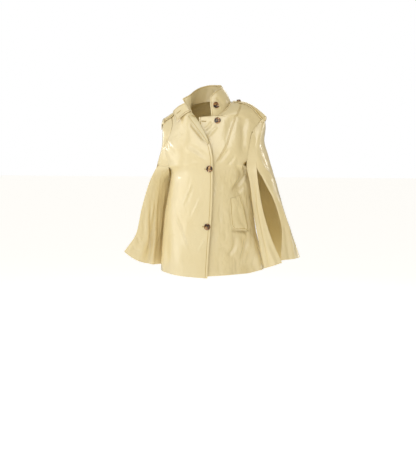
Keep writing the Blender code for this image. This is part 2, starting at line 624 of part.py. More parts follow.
def epaulette_grids(side):
    """The grids of a strap and its loop, both lofted from points of the shoulder moved out."""
    plan = EPAULETTES[side]
    shares = np.linspace(plan.start, 1.0 + plan.end, plan.rows + 1)
    centre = strap_base(side, shares, [STRAP_HALF_WIDTH] * len(shares), (0.0,))[:, 0]
    run = np.concatenate(((0.0,), np.cumsum(np.linalg.norm(np.diff(centre, axis=0), axis=1))))
    middle = np.interp(plan.start + (1.0 + plan.end - plan.start) * plan.loop, shares, run)
    loop_shares = np.interp(middle + LOOP_HALF_LENGTH * np.array((-1.0, 0.0, 1.0)), run, shares)

    before, after = shares[shares < loop_shares[0]], shares[shares > loop_shares[-1]]
    shares = np.concatenate((before, loop_shares, after))  # so that the strap bends where its loop does
    half = np.full(len(shares), STRAP_HALF_WIDTH)
    half[0] *= STRAP_POINT
    base = strap_base(side, shares, half, STRAP_ACROSS)
    outward = upward(base)
    strap = base + outward * (STRAP_LIFT + STRAP_WALL)

    loop_base = strap_base(side, loop_shares, [STRAP_HALF_WIDTH] * len(loop_shares), LOOP_ACROSS)
    lift = np.full(len(LOOP_ACROSS), STRAP_LIFT + STRAP_WALL + plan.clear + LOOP_WALL)
    lift[[0, -1]] = LOOP_SEAT + LOOP_WALL
    loop_outward = [[np.interp(LOOP_ACROSS, STRAP_ACROSS, row[:, axis]) for axis in range(3)]
                    for row in outward[len(before):len(before) + len(loop_shares)]]
    return strap, loop_base + np.array(loop_outward).transpose(0, 2, 1) * lift[None, :, None]


def upward(grid):
    """A grid's unit normals on the side that faces up."""
    normal = normals_of(grid)
    return normal * np.sign(normal[:, :, 2].mean())


def finer(grid, parts=8):
    """Points spread evenly over the faces of a grid."""
    rows = np.linspace(0, grid.shape[0] - 1, (grid.shape[0] - 1) * parts + 1)
    columns = np.linspace(0, grid.shape[1] - 1, (grid.shape[1] - 1) * parts + 1)
    along = np.array([[np.interp(rows, range(grid.shape[0]), grid[:, c, axis]) for axis in range(3)]
                      for c in range(grid.shape[1])])
    across = np.array([[np.interp(columns, range(grid.shape[1]), along[:, axis, r]) for axis in range(3)]
                       for r in range(len(rows))])
    return across.transpose(0, 2, 1).reshape(-1, 3)


def seat(grid, near, axis, radius):
    """Where a button's back stands clear of all the cloth under it."""
    offsets = finer(grid) - near
    height = offsets @ axis
    aside = np.linalg.norm(offsets - height[:, None] * axis, axis=1)
    return near + axis * (height[aside < SEAT_MARGIN * radius].max() + BUTTON_CLEAR)


def make_material(name, colour, roughness, coat):
    material = bpy.data.materials.new(name)
    material.use_nodes = True
    shader = material.node_tree.nodes["Principled BSDF"]
    shader.inputs["Base Color"].default_value = (*colour, 1.0)
    shader.inputs["Roughness"].default_value = roughness
    shader.inputs["Metallic"].default_value = 0.0
    shader.inputs["Coat Weight"].default_value = coat
    return material


def add_object(name, mesh, material, collection):
    for polygon in mesh.polygons:
        polygon.use_smooth = True
    mesh.materials.append(material)
    piece = bpy.data.objects.new(name, mesh)
    collection.objects.link(piece)
    return piece


def cloth_piece(name, grids, wall, material, collection, flip):
    """A wall of even thickness inwards from one or more grids that share edge points."""
    body = bmesh.new()
    for grid, turned in zip(grids, flip):
        rows, columns = grid.shape[:2]
        points = [[body.verts.new(grid[row, column]) for column in range(columns)] for row in range(rows)]
        for row in range(rows - 1):
            for column in range(columns - 1):
                corners = [points[row][column], points[row][column + 1],
                           points[row + 1][column + 1], points[row + 1][column]]
                body.faces.new(corners[::-1] if turned else corners)
    bmesh.ops.remove_doubles(body, verts=body.verts, dist=WELD)
    mesh = bpy.data.meshes.new(name)
    body.to_mesh(mesh)
    body.free()
    piece = add_object(name, mesh, material, collection)
    shell = piece.modifiers.new("wall", "SOLIDIFY")
    shell.thickness = wall
    shell.offset = -1.0
    return piece


def button(name, width, thick, centre, axis, material, collection):
    """A turned button: flat back, rounded edge, raised rim and dished middle."""
    radius = 0.5 * width
    profile = [(across * radius, 0.0, up * thick) for across, up in BUTTON_PROFILE]
    mesh = bpy.data.meshes.new(name)
    mesh.from_pydata(profile, [(place, place + 1) for place in range(len(profile) - 1)], [])
    piece = add_object(name, mesh, material, collection)
    turn = piece.modifiers.new("turned", "SCREW")
    turn.steps = turn.render_steps = BUTTON_SIDES
    turn.use_merge_vertices = True
    turn.merge_threshold = WELD
    turn.use_normal_calculate = True
    spin = Vector((0.0, 0.0, 1.0)).rotation_difference(Vector(axis)).to_matrix().to_4x4()
    piece.matrix_world = Matrix.Translation(Vector(centre)) @ spin
    return piece


def panel_button(name, place, grid, material, collection):
    point, axis = panel_place(*place)
    centre = seat(grid, point, axis, 0.5 * FRONT_BUTTON_WIDTH)
    return button(name, FRONT_BUTTON_WIDTH, FRONT_BUTTON_THICK, centre, axis, material, collection)


def build():
    for item in list(bpy.data.objects):
        bpy.data.objects.remove(item, do_unlink=True)
    coat = bpy.data.collections.new("cape_coat")
    bpy.context.scene.collection.children.link(coat)
    cloth = make_material("patent_cloth", (0.74, 0.60, 0.30), 0.22, 0.8)
    tortoiseshell = make_material("tortoiseshell", (0.055, 0.022, 0.010), 0.25, 0.3)

    fronts = {}
    for side, name in ((LEFT, "front_left"), (RIGHT, "front_right")):
        grid, _ = body_grid(side, FRONT, FRONT_FOLDS[side])
        fronts[side] = drawn_in(grid, last_row=SHOULDER_DRAW, last_column=SIDE_DRAW)
        cloth_piece(name, [fronts[side]], CLOTH_WALL, cloth, coat, [side == RIGHT])
    halves = []
    for side in (LEFT, RIGHT):
        grid, _ = body_grid(side, BACK, BACK_FOLDS)
        halves.append(drawn_in(grid, last_row=SHOULDER_DRAW, last_column=SIDE_DRAW))
    cloth_piece("back", halves, CLOTH_WALL, cloth, coat, [True, False])

    for side, name in ((LEFT, "left"), (RIGHT, "right")):
        outer, _ = outer_sleeve(side)
        outer = drawn_in(outer, first_column=SIDE_DRAW)
        cloth_piece("sleeve_back_" + name, [outer], CLOTH_WALL, cloth, coat, [side == LEFT])
        strip, _ = front_strip(side)
        strip = drawn_in(strip, last_column=SLIT_DRAW[side])
        cloth_piece("sleeve_front_" + name, [strip], CLOTH_WALL, cloth, coat, [side == LEFT])

    collar, _ = collar_grid()
    cloth_piece("collar", [collar], CLOTH_WALL, cloth, coat, [True])
    cloth_piece("collar_tab", [tab_grid(collar)], STRAP_WALL, cloth, coat, [True])
    cloth_piece("facing_right", [facing_grid()], CLOTH_WALL, cloth, coat, [True])
    cloth_piece("pocket_flap", [flap_grid()], CLOTH_WALL, cloth, coat, [False])

    for side, name in ((LEFT, "left"), (RIGHT, "right")):
        strap, loop = epaulette_grids(side)
        cloth_piece("epaulette_" + name, [strap], STRAP_WALL, cloth, coat, [side == LEFT])
        cloth_piece("epaulette_loop_" + name, [loop], LOOP_WALL, cloth, coat, [side == LEFT])
        axis = upward(strap)[1, 2]
        centre = seat(strap, strap[1, 2], axis, 0.5 * STRAP_BUTTON_WIDTH)
        button("epaulette_button_" + name, STRAP_BUTTON_WIDTH, STRAP_BUTTON_THICK, centre, axis,
               tortoiseshell, coat)

    panel_button("button_middle", MIDDLE_BUTTON, fronts[RIGHT], tortoiseshell, coat)
    panel_button("button_low", LOW_BUTTON, fronts[RIGHT], tortoiseshell, coat)
    panel_button("button_chest", CHEST_BUTTON, fronts[LEFT], tortoiseshell, coat)
    place, height = COLLAR_BUTTON
    fine, fine_out = collar_grid((height - NEAR_LEVEL, height, height + NEAR_LEVEL))
    axis = fine_out[1, place]
    centre = seat(collar, fine[1, place], axis, 0.5 * FRONT_BUTTON_WIDTH)
    button("button_collar", FRONT_BUTTON_WIDTH, FRONT_BUTTON_THICK, centre, axis, tortoiseshell, coat)


build()
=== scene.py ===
import math

import bmesh
import bpy
import numpy as np
from mathutils import Matrix, Vector, noise


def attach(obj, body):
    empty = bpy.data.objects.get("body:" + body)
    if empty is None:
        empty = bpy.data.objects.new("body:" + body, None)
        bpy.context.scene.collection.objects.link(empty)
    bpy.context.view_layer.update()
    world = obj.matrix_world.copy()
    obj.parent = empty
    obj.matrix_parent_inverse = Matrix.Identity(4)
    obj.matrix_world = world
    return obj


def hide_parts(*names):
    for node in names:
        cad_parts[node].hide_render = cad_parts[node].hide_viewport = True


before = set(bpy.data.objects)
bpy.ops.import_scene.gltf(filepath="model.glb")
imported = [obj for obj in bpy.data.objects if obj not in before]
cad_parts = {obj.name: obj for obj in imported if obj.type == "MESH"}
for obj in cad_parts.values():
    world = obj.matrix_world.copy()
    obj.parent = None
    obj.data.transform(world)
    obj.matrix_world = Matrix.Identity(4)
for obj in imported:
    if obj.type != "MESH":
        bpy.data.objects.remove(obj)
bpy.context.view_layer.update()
print("frame loaded,", len(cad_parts), "solids")

left, right = 1, -1  # the coat's sides as it is worn, +X and -X
front, back = -1, 1  # facing -Y and +Y

# Camera: the view of the photo, from a little to the coat's left and above the hem
cameraSetup = {
    "azimuth": 10.0,  # degrees round from the front
    "distance": 4.2,
    "metresPerPixel": 0.00474,  # at the coat
    "image": (416, 469),
    "middleColumn": 214.0,  # pixel column of the coat's origin
    "levelRow": 140.0,  # pixel row that the camera sees level
    "height": -0.17,
}


def addObject(name, data):  # an object that holds some data, linked to the scene
    made = bpy.data.objects.new(name, data)
    bpy.context.scene.collection.objects.link(made)
    return made


def meshFrom(shape, name):
    mesh = bpy.data.meshes.new(name)
    shape.to_mesh(mesh)
    shape.free()
    return mesh


def smoothShade(mesh):
    mesh.polygons.foreach_set("use_smooth", np.ones(len(mesh.polygons), bool))


def applied(piece):  # a piece's mesh with its modifiers made plain
    bpy.context.view_layer.update()
    made = bpy.data.meshes.new_from_object(piece.evaluated_get(bpy.context.evaluated_depsgraph_get()))
    piece.modifiers.clear()
    piece.data = made
    return made


def placeCamera(setup):
    turn = math.radians(setup["azimuth"])
    wide, high = setup["image"]
    focal = setup["distance"] / setup["metresPerPixel"]  # in pixels
    pitch = math.atan((high / 2 - setup["levelRow"]) / focal)
    across = Vector((math.cos(turn), math.sin(turn), 0.0))
    level = Vector((-math.sin(turn), math.cos(turn), 0.0))
    look = level * math.cos(pitch) - Vector((0.0, 0.0, math.sin(pitch)))
    up = across.cross(look)
    spot = across * ((wide / 2 - setup["middleColumn"]) * setup["metresPerPixel"]) - level * setup["distance"]
    spot.z = setup["height"]
    lens = bpy.data.cameras.new("photoCamera")
    lens.sensor_width = 36.0
    lens.lens = 36.0 * focal / high
    camera = addObject("photoCamera", lens)
    camera.matrix_world = Matrix((
        (across.x, up.x, -look.x, spot.x), (across.y, up.y, -look.y, spot.y),
        (across.z, up.z, -look.z, spot.z), (0.0, 0.0, 0.0, 1.0)))
    bpy.context.scene.camera = camera


placeCamera(cameraSetup)
print("camera placed")

# Body sections from the hem, level 0, to the shoulder seam, level 11; out is metres from the centre line
bodySections = {
    "sideSeam": {  # out, y, z from the hem up to the underarm
        left: ((0.243, 0.000, -0.770), (0.214, 0.000, -0.660), (0.192, 0.000, -0.548),
               (0.183, 0.000, -0.430), (0.180, 0.000, -0.335)),
        right: ((0.250, -0.018, -0.783), (0.247, -0.014, -0.667), (0.236, -0.010, -0.553),
                (0.219, -0.005, -0.430), (0.206, 0.000, -0.335)),
    },
    "armhole": {  # out, y, z of the front, then of the back
        left: ((0.166, -0.084, -0.286, 0.170, 0.080, -0.288), (0.176, -0.090, -0.216, 0.180, 0.088, -0.218),
               (0.190, -0.066, -0.130, 0.196, 0.066, -0.135), (0.212, -0.036, -0.096, 0.214, 0.036, -0.098),
               (0.222, -0.022, -0.080, 0.223, 0.022, -0.081), (0.230, -0.010, -0.067, 0.230, 0.010, -0.067),
               (0.236, 0.000, -0.057, 0.236, 0.000, -0.057)),
        right: ((0.201, -0.086, -0.286, 0.203, 0.075, -0.290), (0.216, -0.080, -0.216, 0.215, 0.080, -0.218),
                (0.199, -0.068, -0.148, 0.206, 0.066, -0.150), (0.189, -0.050, -0.100, 0.196, 0.050, -0.104),
                (0.195, -0.028, -0.074, 0.199, 0.028, -0.076), (0.201, -0.012, -0.060, 0.203, 0.012, -0.061),
                (0.205, 0.000, -0.052, 0.205, 0.000, -0.052)),
    },
    "frontEdge": {  # out, depth, z, how far the row has turned at the side, lift of its middle
        left: ((-0.036, 0.195, -0.792, 90, 0.0), (-0.036, 0.186, -0.667, 90, 0.0),
               (-0.036, 0.178, -0.555, 90, 0.0), (-0.036, 0.168, -0.430, 90, 0.0),
               (-0.036, 0.159, -0.335, 88, 0.0), (-0.037, 0.154, -0.270, 62, 0.0),
               (-0.042, 0.142, -0.190, 50, 0.004), (-0.049, 0.122, -0.120, 40, 0.010),
               (-0.053, 0.104, -0.066, 32, 0.016), (0.006, 0.101, -0.066, 26, 0.018),
               (0.058, 0.066, -0.034, 16, 0.021), (0.080, 0.000, 0.006, 0, 0.022)),
        right: ((-0.004, 0.205, -0.798, 90, 0.0), (-0.010, 0.197, -0.667, 90, 0.0),
                (-0.018, 0.190, -0.555, 90, 0.0), (-0.023, 0.181, -0.430, 90, 0.0),
                (-0.023, 0.172, -0.335, 88, 0.0), (-0.022, 0.166, -0.265, 62, 0.0),
                (-0.008, 0.155, -0.195, 48, 0.002), (0.022, 0.136, -0.130, 40, 0.005),
                (0.060, 0.114, -0.074, 36, 0.008), (0.088, 0.094, -0.043, 30, 0.010),
                (0.101, 0.050, -0.022, 16, 0.010), (0.105, 0.000, -0.004, 0, 0.008)),
    },
    "backCentre": ((0.0, 0.185, -0.790, 90, 0.0), (0.0, 0.176, -0.667, 90, 0.0),
                   (0.0, 0.167, -0.555, 90, 0.0), (0.0, 0.158, -0.430, 90, 0.0),
                   (0.0, 0.153, -0.335, 88, 0.0), (0.0, 0.151, -0.265, 58, 0.0),
                   (0.0, 0.147, -0.180, 46, 0.002), (0.0, 0.127, -0.080, 40, 0.006),
                   (0.0, 0.074, 0.016, 30, 0.010)),
    "backNeck": {
        left: ((0.040, 0.066, 0.015, 24, 0.015), (0.068, 0.038, 0.011, 14, 0.019),
               (0.080, 0.000, 0.006, 0, 0.022)),
        right: ((0.050, 0.066, 0.011, 24, 0.010), (0.088, 0.038, 0.003, 14, 0.010),
                (0.105, 0.000, -0.004, 0, 0.008)),
    },
    "edgeFullness": 0.46,
    "sideFullness": 0.36,
    "shoulder": 11,
    "wall": 0.0018,
}


def throughRows(rows, at, knots=None):  # smooth values between a table's rows, with no overshoot
    rows = np.asarray(rows, float)
    at = np.atleast_1d(np.asarray(at, float))
    knots = np.arange(len(rows), dtype=float) if knots is None else np.asarray(knots, float)
    flat = rows.reshape(len(rows), -1)
    steps = np.diff(knots)[:, None]
    slopes = np.diff(flat, axis=0) / steps
    ends = np.zeros_like(flat)
    sameWay = slopes[:-1] * slopes[1:] > 0
    total = np.where(sameWay, slopes[:-1] + slopes[1:], 1.0)
    ends[1:-1] = np.where(sameWay, 2.0 * slopes[:-1] * slopes[1:] / total, 0.0)
    ends[0], ends[-1] = slopes[0], slopes[-1]
    span = np.clip(np.searchsorted(knots, at, side="right") - 1, 0, len(steps) - 1)
    step = steps[span]
    t = (at - knots[span])[:, None] / step
    made = (flat[span] * (1 + 2 * t) * (1 - t) ** 2 + ends[span] * step * t * (1 - t) ** 2
            + flat[span + 1] * t * t * (3 - 2 * t) + ends[span + 1] * step * t * t * (t - 1))
    return made.reshape((len(at),) + rows.shape[1:])


def outerEnd(side, facing, levels):  # the side seam, then the armhole edge
    armhole = bodySections["armhole"][side]
    near, far = (slice(0, 3), slice(3, 6)) if facing == front else (slice(3, 6), slice(0, 3))
    rows = list(bodySections["sideSeam"][side]) + [row[near] for row in armhole] + [armhole[-2][far]]
    return throughRows(rows, levels)


def innerEdge(side, facing, levels):  # the front edge or centre back, then the neckline
    ahead = bodySections["frontEdge"][side]
    behind = bodySections["backCentre"] + bodySections["backNeck"][side]
    near, far = (ahead, behind) if facing == front else (behind, ahead)
    out, depth, z, turn, lift = far[-2]
    return throughRows(list(near) + [(out, -depth, z, -turn, lift)], levels)


def bodyPoints(side, facing, levels, across):
    edge, seam = innerEdge(side, facing, levels), outerEnd(side, facing, levels)
    start = edge[:, None, :2]
    end = np.stack((seam[:, 0], facing * seam[:, 1]), -1)[:, None]
    chord = np.linalg.norm(end - start, axis=2, keepdims=True)
    turn = np.radians(edge[:, 3])
    leave = start + bodySections["edgeFullness"] * chord * np.array((1.0, 0.0))
    arrive = end - bodySections["sideFullness"] * chord * np.stack((np.cos(turn), -np.sin(turn)), -1)[:, None]
    t = np.asarray(across, float)[None, :, None]
    plan = (1 - t) ** 3 * start + 3 * t * (1 - t) ** 2 * leave + 3 * t * t * (1 - t) * arrive + t ** 3 * end
    t = t[..., 0]
    z = edge[:, 2:3] * (1 - t) + seam[:, 2:3] * t + 4.0 * edge[:, 4:5] * t * (1 - t)
    return np.stack((side * plan[..., 0], facing * plan[..., 1], z), -1)


def gridNormals(points):
    normal = np.cross(np.gradient(points, axis=1), np.gradient(points, axis=0))
    return normal / np.maximum(np.linalg.norm(normal, axis=2, keepdims=True), 1e-12)


def alongLine(points):  # distance run along the second axis of a grid
    steps = np.linalg.norm(np.diff(points, axis=1), axis=2)
    return np.concatenate((np.zeros((len(points), 1)), np.cumsum(steps, axis=1)), 1)


def evenly(pointsAt, low, high, count):  # row numbers spaced evenly in metres along a panel's middle
    fine = np.linspace(low, high, 400)  # close enough to measure along
    run = alongLine(pointsAt(fine, [0.5]).transpose(1, 0, 2))[0]
    return np.interp(np.linspace(0.0, run[-1], count), run, fine)


def makePanel(points, flip, rows, across):
    return {"points": points, "normals": gridNormals(points) * flip, "flip": flip,
            "rows": np.asarray(rows, float), "across": np.asarray(across, float)}


def movePanel(panel, amount):  # outwards by an amount for each point
    points = panel["points"] + amount[..., None] * panel["normals"]
    return makePanel(points, panel["flip"], panel["rows"], panel["across"])


def onPanel(panel, across, row, key="points"):  # a place on the panel, between its points
    i = np.interp(row, panel["rows"], np.arange(len(panel["rows"])))
    j = np.interp(across, panel["across"], np.arange(len(panel["across"])))
    i0 = np.clip(np.floor(i).astype(int), 0, len(panel["rows"]) - 2)
    j0 = np.clip(np.floor(j).astype(int), 0, len(panel["across"]) - 2)
    u, v = (i - i0)[..., None], (j - j0)[..., None]
    grid = panel[key]
    made = ((1 - u) * (1 - v) * grid[i0, j0] + (1 - u) * v * grid[i0, j0 + 1]
            + u * (1 - v) * grid[i0 + 1, j0] + u * v * grid[i0 + 1, j0 + 1])
    if key == "normals":
        made = made / np.linalg.norm(made, axis=-1, keepdims=True)
    return made


def eased(share):  # from 0 to 1 with level ends
    return share * share * (3 - 2 * share)


def finePath(path, steps):  # across and row along a path, with steps between its places
    path = np.array(path, float)
    return throughRows(path, np.linspace(0, len(path) - 1, steps * (len(path) - 1) + 1)).T


def nearLine(points, line, ups):  # distance from a line, the same signed by its side, and the share along it
    length = np.linalg.norm(np.diff(line, axis=0), axis=1)
    run = np.concatenate(((0.0,), np.cumsum(length)))
    nearest = np.full(points.shape[:2], np.inf)
    signed, share = np.zeros(nearest.shape), np.zeros(nearest.shape)
    for k, up in enumerate(ups):
        step = line[k + 1] - line[k]
        part = np.clip((points - line[k]) @ step / max(step @ step, 1e-12), 0.0, 1.0)
        away = points - line[k] - part[..., None] * step
        far = np.linalg.norm(away, axis=2)
        closer = far < nearest
        nearest = np.where(closer, far, nearest)
        signed = np.where(closer, far * np.sign((np.cross(step, away) * up).sum(axis=2)), signed)
        share = np.where(closer, (run[k] + part * length[k]) / run[-1], share)
    return nearest, signed, share


def foldDepth(panel, folds):  # the large folds: across, low, high, lean, depth, width
    t, level = panel["across"][None, :], panel["rows"][:, None]
    moved = np.zeros((level.shape[0], t.shape[1]))
    for across, low, high, lean, depth, width in folds:
        middle, reach = 0.5 * (low + high), 0.5 * (high - low)
        along = np.clip((level - middle) / reach, -1.0, 1.0)
        aside = (t - across - lean * (level - middle)) / width
        moved += depth * np.exp(-aside * aside) * np.cos(0.5 * math.pi * along) ** 2
    return moved * np.minimum(1.0, 6.0 * (1.0 - t))  # none at the sewn edge


# A path of places across and rows, depth and width in metres, and the shares that fade at both ends
def crease(path, depth, width, lip=0.0, tails=(0.35, 0.35)):
    return {"path": path, "depth": depth, "width": width, "lip": lip, "tails": tails}


# Fade is the row where it begins to lessen, the row where it has, and the share kept there
def crumple(size, stretch, depth, shift, fade=(99.0, 100.0, 1.0), octaves=3):
    return {"size": size, "stretch": stretch, "depth": depth, "shift": shift,
            "fade": fade, "octaves": octaves}


def creaseDepth(panel, creases):  # troughs and ridges along given paths on the panel
    points, normals = panel["points"], panel["normals"]
    moved = np.zeros(points.shape[:2])
    for plan in creases:
        line = onPanel(panel, *finePath(plan["path"], 12))
        nearest, signed, share = nearLine(points, line, [normals] * (len(line) - 1))
        width, lip = plan["width"], plan["lip"]
        startTail, endTail = plan["tails"]
        fade = np.clip(share / startTail, 0, 1) if startTail else 1.0
        fade = fade * (np.clip((1 - share) / endTail, 0, 1) if endTail else 1.0)
        shape = np.exp(-(nearest / width) ** 2)
        if lip:  # the cloth pushed up beside the trough
            shape = shape - lip * np.exp(-((signed - 1.9 * width) / (1.2 * width)) ** 2)
        moved += plan["depth"] * shape * eased(fade)
    return moved


octaveShares = ((1.0, False), (0.42, False), (0.30, True))  # strength of each octave, and if it is ridged


def crumpleDepth(panel, plan):  # slack and crinkles of coated cloth, longer down the coat than across it
    points = panel["points"]
    moved = np.zeros(points.shape[:2])
    for octave, (share, ridged) in enumerate(octaveShares[:plan["octaves"]]):
        scale = plan["size"] / (2.1 ** octave)
        tall = scale * plan["stretch"]
        shift = Vector(plan["shift"]) + Vector((7.3, 3.1, 5.7)) * octave
        layer = np.array([noise.noise(Vector((x / scale, y / scale, z / tall)) + shift)
                          for x, y, z in points.reshape(-1, 3)]).reshape(moved.shape)
        moved += share * ((0.5 - np.abs(layer)) if ridged else layer)
    return plan["depth"] * moved


def calmed(panel, amount, places):  # less movement near what is sewn on: across, row, radius, share kept
    for across, row, radius, kept in places:
        far = np.linalg.norm(panel["points"] - onPanel(panel, across, row), axis=2)
        near = np.clip((far - 0.5 * radius) / radius, 0.0, 1.0)
        amount = amount * (kept + (1 - kept) * eased(near))
    return amount


def dress(panel, plan):  # a panel with its folds, creases and crumple
    panel = movePanel(panel, foldDepth(panel, plan.get("folds", ())))
    amount = creaseDepth(panel, plan.get("creases", ()))
    for layer in plan.get("crumples", ()):
        low, high, kept = layer["fade"]
        level = np.clip((panel["rows"] - low) / (high - low), 0.0, 1.0)[:, None]
        amount = amount + crumpleDepth(panel, layer) * (1 - (1 - kept) * level)
    amount = calmed(panel, amount, plan.get("calm", ()))
    return movePanel(panel, amount)


def edgeLine(panel, edge, inset, span=(0.0, 1.0)):  # a line of points and normals inside one edge of a panel
    points, normals = panel["points"], panel["normals"]
    if edge in ("low", "high"):
        points, normals = points.transpose(1, 0, 2), normals.transpose(1, 0, 2)
    if edge in ("last", "high"):
        points, normals = points[:, ::-1], normals[:, ::-1]
    run = alongLine(points)
    made, up = [], []
    for line, normal, gone in zip(points, normals, run):
        made.append([np.interp(inset, gone, line[:, axis]) for axis in range(3)])
        up.append([np.interp(inset, gone, normal[:, axis]) for axis in range(3)])
    made, up = np.array(made), np.array(up)
    share = alongLine(made[None])[0]
    keep = (share >= span[0] * share[-1]) & (share <= span[1] * share[-1])
    return made[keep], up[keep] / np.linalg.norm(up[keep], axis=1, keepdims=True)


def pathLine(panel, path, aside=0.0):  # a line through places on a panel, moved to one side of it
    across, row = finePath(path, 24)
    line, up = onPanel(panel, across, row), onPanel(panel, across, row, "normals")
    sideways = np.cross(np.gradient(line, axis=0), up)
    sideways /= np.linalg.norm(sideways, axis=1, keepdims=True)
    return line + aside * sideways, up


def distanceFrom(panel, path):  # metres to either side of a line through places on the panel
    line, up = pathLine(panel, path)
    return nearLine(panel["points"], line, up[:-1])[1]


def distanceIn(panel, edges):  # metres from the nearest of the named edges
    points = panel["points"]
    acrossRun, alongRun = alongLine(points), alongLine(points.transpose(1, 0, 2)).T
    found = {"first": acrossRun, "last": acrossRun[:, -1:] - acrossRun,
             "low": alongRun, "high": alongRun[-1:] - alongRun}
    return np.min([found[edge] for edge in edges], axis=0)


tapePlan = {"wall": 0.0009, "inset": 0.006, "clear": 0.0004}


# Seam allowance under both sides of a seam; reach is given along the seam
def seamTape(panel, edge, span, reach):
    line, up = edgeLine(panel, edge, 0.0)
    inset = tapePlan["inset"]
    outwards = line - edgeLine(panel, edge, inset)[0]
    outwards -= up * np.einsum("ij,ij->i", outwards, up)[:, None]
    outwards /= np.linalg.norm(outwards, axis=1, keepdims=True)
    places = panel["rows"] if edge in ("first", "last") else panel["across"]
    far = np.interp(places, *zip(*reach))[:, None]
    under = line - up * (wall + tapePlan["clear"])
    points = np.stack((under - outwards * inset, under, under + outwards * 0.5 * far,
                       under + outwards * far - up * 0.2 * far), 1)
    keep = (places >= span[0]) & (places <= span[1])
    points, up = points[keep], up[keep]
    flip = 1 if np.einsum("ijk,ik->ij", gridNormals(points), up).mean() > 0 else -1
    return makePanel(points, flip, np.arange(len(points)), np.linspace(0, 1, 4))


def panelFaces(panel):  # flat lists of a panel's points, normals and outward faces
    rows, columns = panel["points"].shape[:2]
    index = np.arange(rows * columns).reshape(rows, columns)
    faces = np.stack((index[:-1, :-1], index[:-1, 1:], index[1:, 1:], index[1:, :-1]), -1).reshape(-1, 4)
    faces = faces if panel["flip"] > 0 else faces[:, ::-1]
    cut = np.stack((alongLine(panel["points"]), alongLine(panel["points"].transpose(1, 0, 2)).T), -1)
    return panel["points"].reshape(-1, 3), panel["normals"].reshape(-1, 3), faces, cut.reshape(-1, 2)


def wallShell(places, normals, faces, thick):  # outer and inner wall, closed by a rounded edge
    count = len(places)
    ahead = np.concatenate([faces[:, [k, (k + 1) % 4]] for k in range(4)])
    centres = np.tile(places[faces].mean(axis=1), (4, 1))
    unshared = ~np.isin(ahead[:, 0] * count + ahead[:, 1], ahead[:, 1] * count + ahead[:, 0])
    rim, centres = ahead[unshared], centres[unshared]
    out = np.zeros((count, 3))
    for end in (0, 1):
        np.add.at(out, rim[:, end], places[rim[:, end]] - centres)
    edge = np.unique(rim)
    out = out[edge] - normals[edge] * np.einsum("ij,ij->i", out[edge], normals[edge])[:, None]
    out /= np.maximum(np.linalg.norm(out, axis=1, keepdims=True), 1e-9)
    middle = places[edge] - 0.5 * thick * normals[edge] + 0.35 * thick * out
    number = np.zeros(count, int)
    number[edge] = 2 * count + np.arange(len(edge))
    a, b = rim[:, 0], rim[:, 1]
    sides = np.concatenate((np.stack((b, a, number[a], number[b]), -1),
                            np.stack((number[b], number[a], a + count, b + count), -1)))
    made = np.concatenate((places, places - thick * normals, middle))
    source = np.concatenate((np.arange(count), np.arange(count), edge))
    return made, faces, faces[:, ::-1] + count, sides, source


def clothPiece(name, shells, thick, materials, fromStitch=None, tapes=(), fromSeam=None):
    places, faces, finish, cuts = [], [], [], []
    values = {"fromStitch": [], "fromSeam": []}  # metres from edge stitching, and from a seam inside
    first = 0
    for number, (points, normals, quads, cut) in enumerate([shells] + [panelFaces(tape) for tape in tapes]):
        depth = tapePlan["wall"] if number else thick
        made, outer, inner, sides, source = wallShell(points, normals, quads, depth)
        places.append(made)
        faces += (outer + first).tolist() + (inner + first).tolist() + (sides + first).tolist()
        inside = len(materials) - 1
        finish += [inside if number else 0] * len(outer) + [inside] * len(inner)
        finish += [inside if number else 0] * len(sides)
        cuts.append(cut[source])
        for key, given in (("fromStitch", fromStitch), ("fromSeam", fromSeam)):
            line = np.full(len(points), 1.0) if number or given is None else given.ravel()
            values[key].append(line[source])
        first += len(made)
    mesh = bpy.data.meshes.new(name)
    mesh.from_pydata(np.concatenate(places).tolist(), [], faces)
    smoothShade(mesh)
    for material in materials:
        mesh.materials.append(material)
    mesh.polygons.foreach_set("material_index", np.array(finish, np.int32))
    for key, lists in values.items():
        attribute = mesh.attributes.new(key, "FLOAT", "POINT")
        attribute.data.foreach_set("value", np.concatenate(lists).astype(np.float32))
    corners = np.zeros(len(mesh.loops), np.int32)
    mesh.loops.foreach_get("vertex_index", corners)
    mesh.uv_layers.new(name="cut").data.foreach_set(
        "uv", np.concatenate(cuts)[corners].astype(np.float32).ravel())
    mesh.update()
    return addObject(name, mesh)


def cutSize(panels):  # width, length and area of the cloth in panels that lie side by side
    width = length = area = 0.0
    for points in (panel["points"] for panel in panels):
        width += alongLine(points)[:, -1].max()
        length = max(length, alongLine(points.transpose(1, 0, 2))[:, -1].max())
        a, b = points[1:, 1:] - points[:-1, :-1], points[1:, :-1] - points[:-1, 1:]
        area += 0.5 * np.linalg.norm(np.cross(a, b), axis=2).sum()
    return width, length, area


def settle(piece, node, panels=None):  # attaches it to its body and hides its solid; the cut's size is worked out but not kept
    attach(piece, "root")
    if node:
        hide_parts(node)
    if panels is not None:
        width, length, area = cutSize(panels)
    return piece


# Materials
def toLinear(hexCode):  # an sRGB hex colour as linear values
    channels = [int(hexCode[k:k + 2], 16) / 255 for k in (1, 3, 5)]
    return [c / 12.92 if c <= 0.04045 else ((c + 0.055) / 1.055) ** 2.4 for c in channels] + [1.0]


def addNode(tree, kind, values=None, links=None):  # a node with its settings and links
    node = tree.nodes.new(kind)
    for key, value in (values or {}).items():
        if isinstance(key, int) or key in node.inputs:
            node.inputs[key].default_value = value
        else:
            setattr(node, key, value)
    for key, socket in (links or {}).items():
        tree.links.new(socket, node.inputs[key])
    return node


def newMaterial(name):
    material = bpy.data.materials.new(name)
    material.use_nodes = True
    material.node_tree.nodes.clear()
    return material, material.node_tree


def surface(tree, values, links):  # a principled shader as the tree's output
    shader = addNode(tree, "ShaderNodeBsdfPrincipled", values, links)
    addNode(tree, "ShaderNodeOutputMaterial", links={"Surface": shader.outputs["BSDF"]})


def placeOf(tree, kind="Object"):
    return addNode(tree, "ShaderNodeTexCoord").outputs[kind]


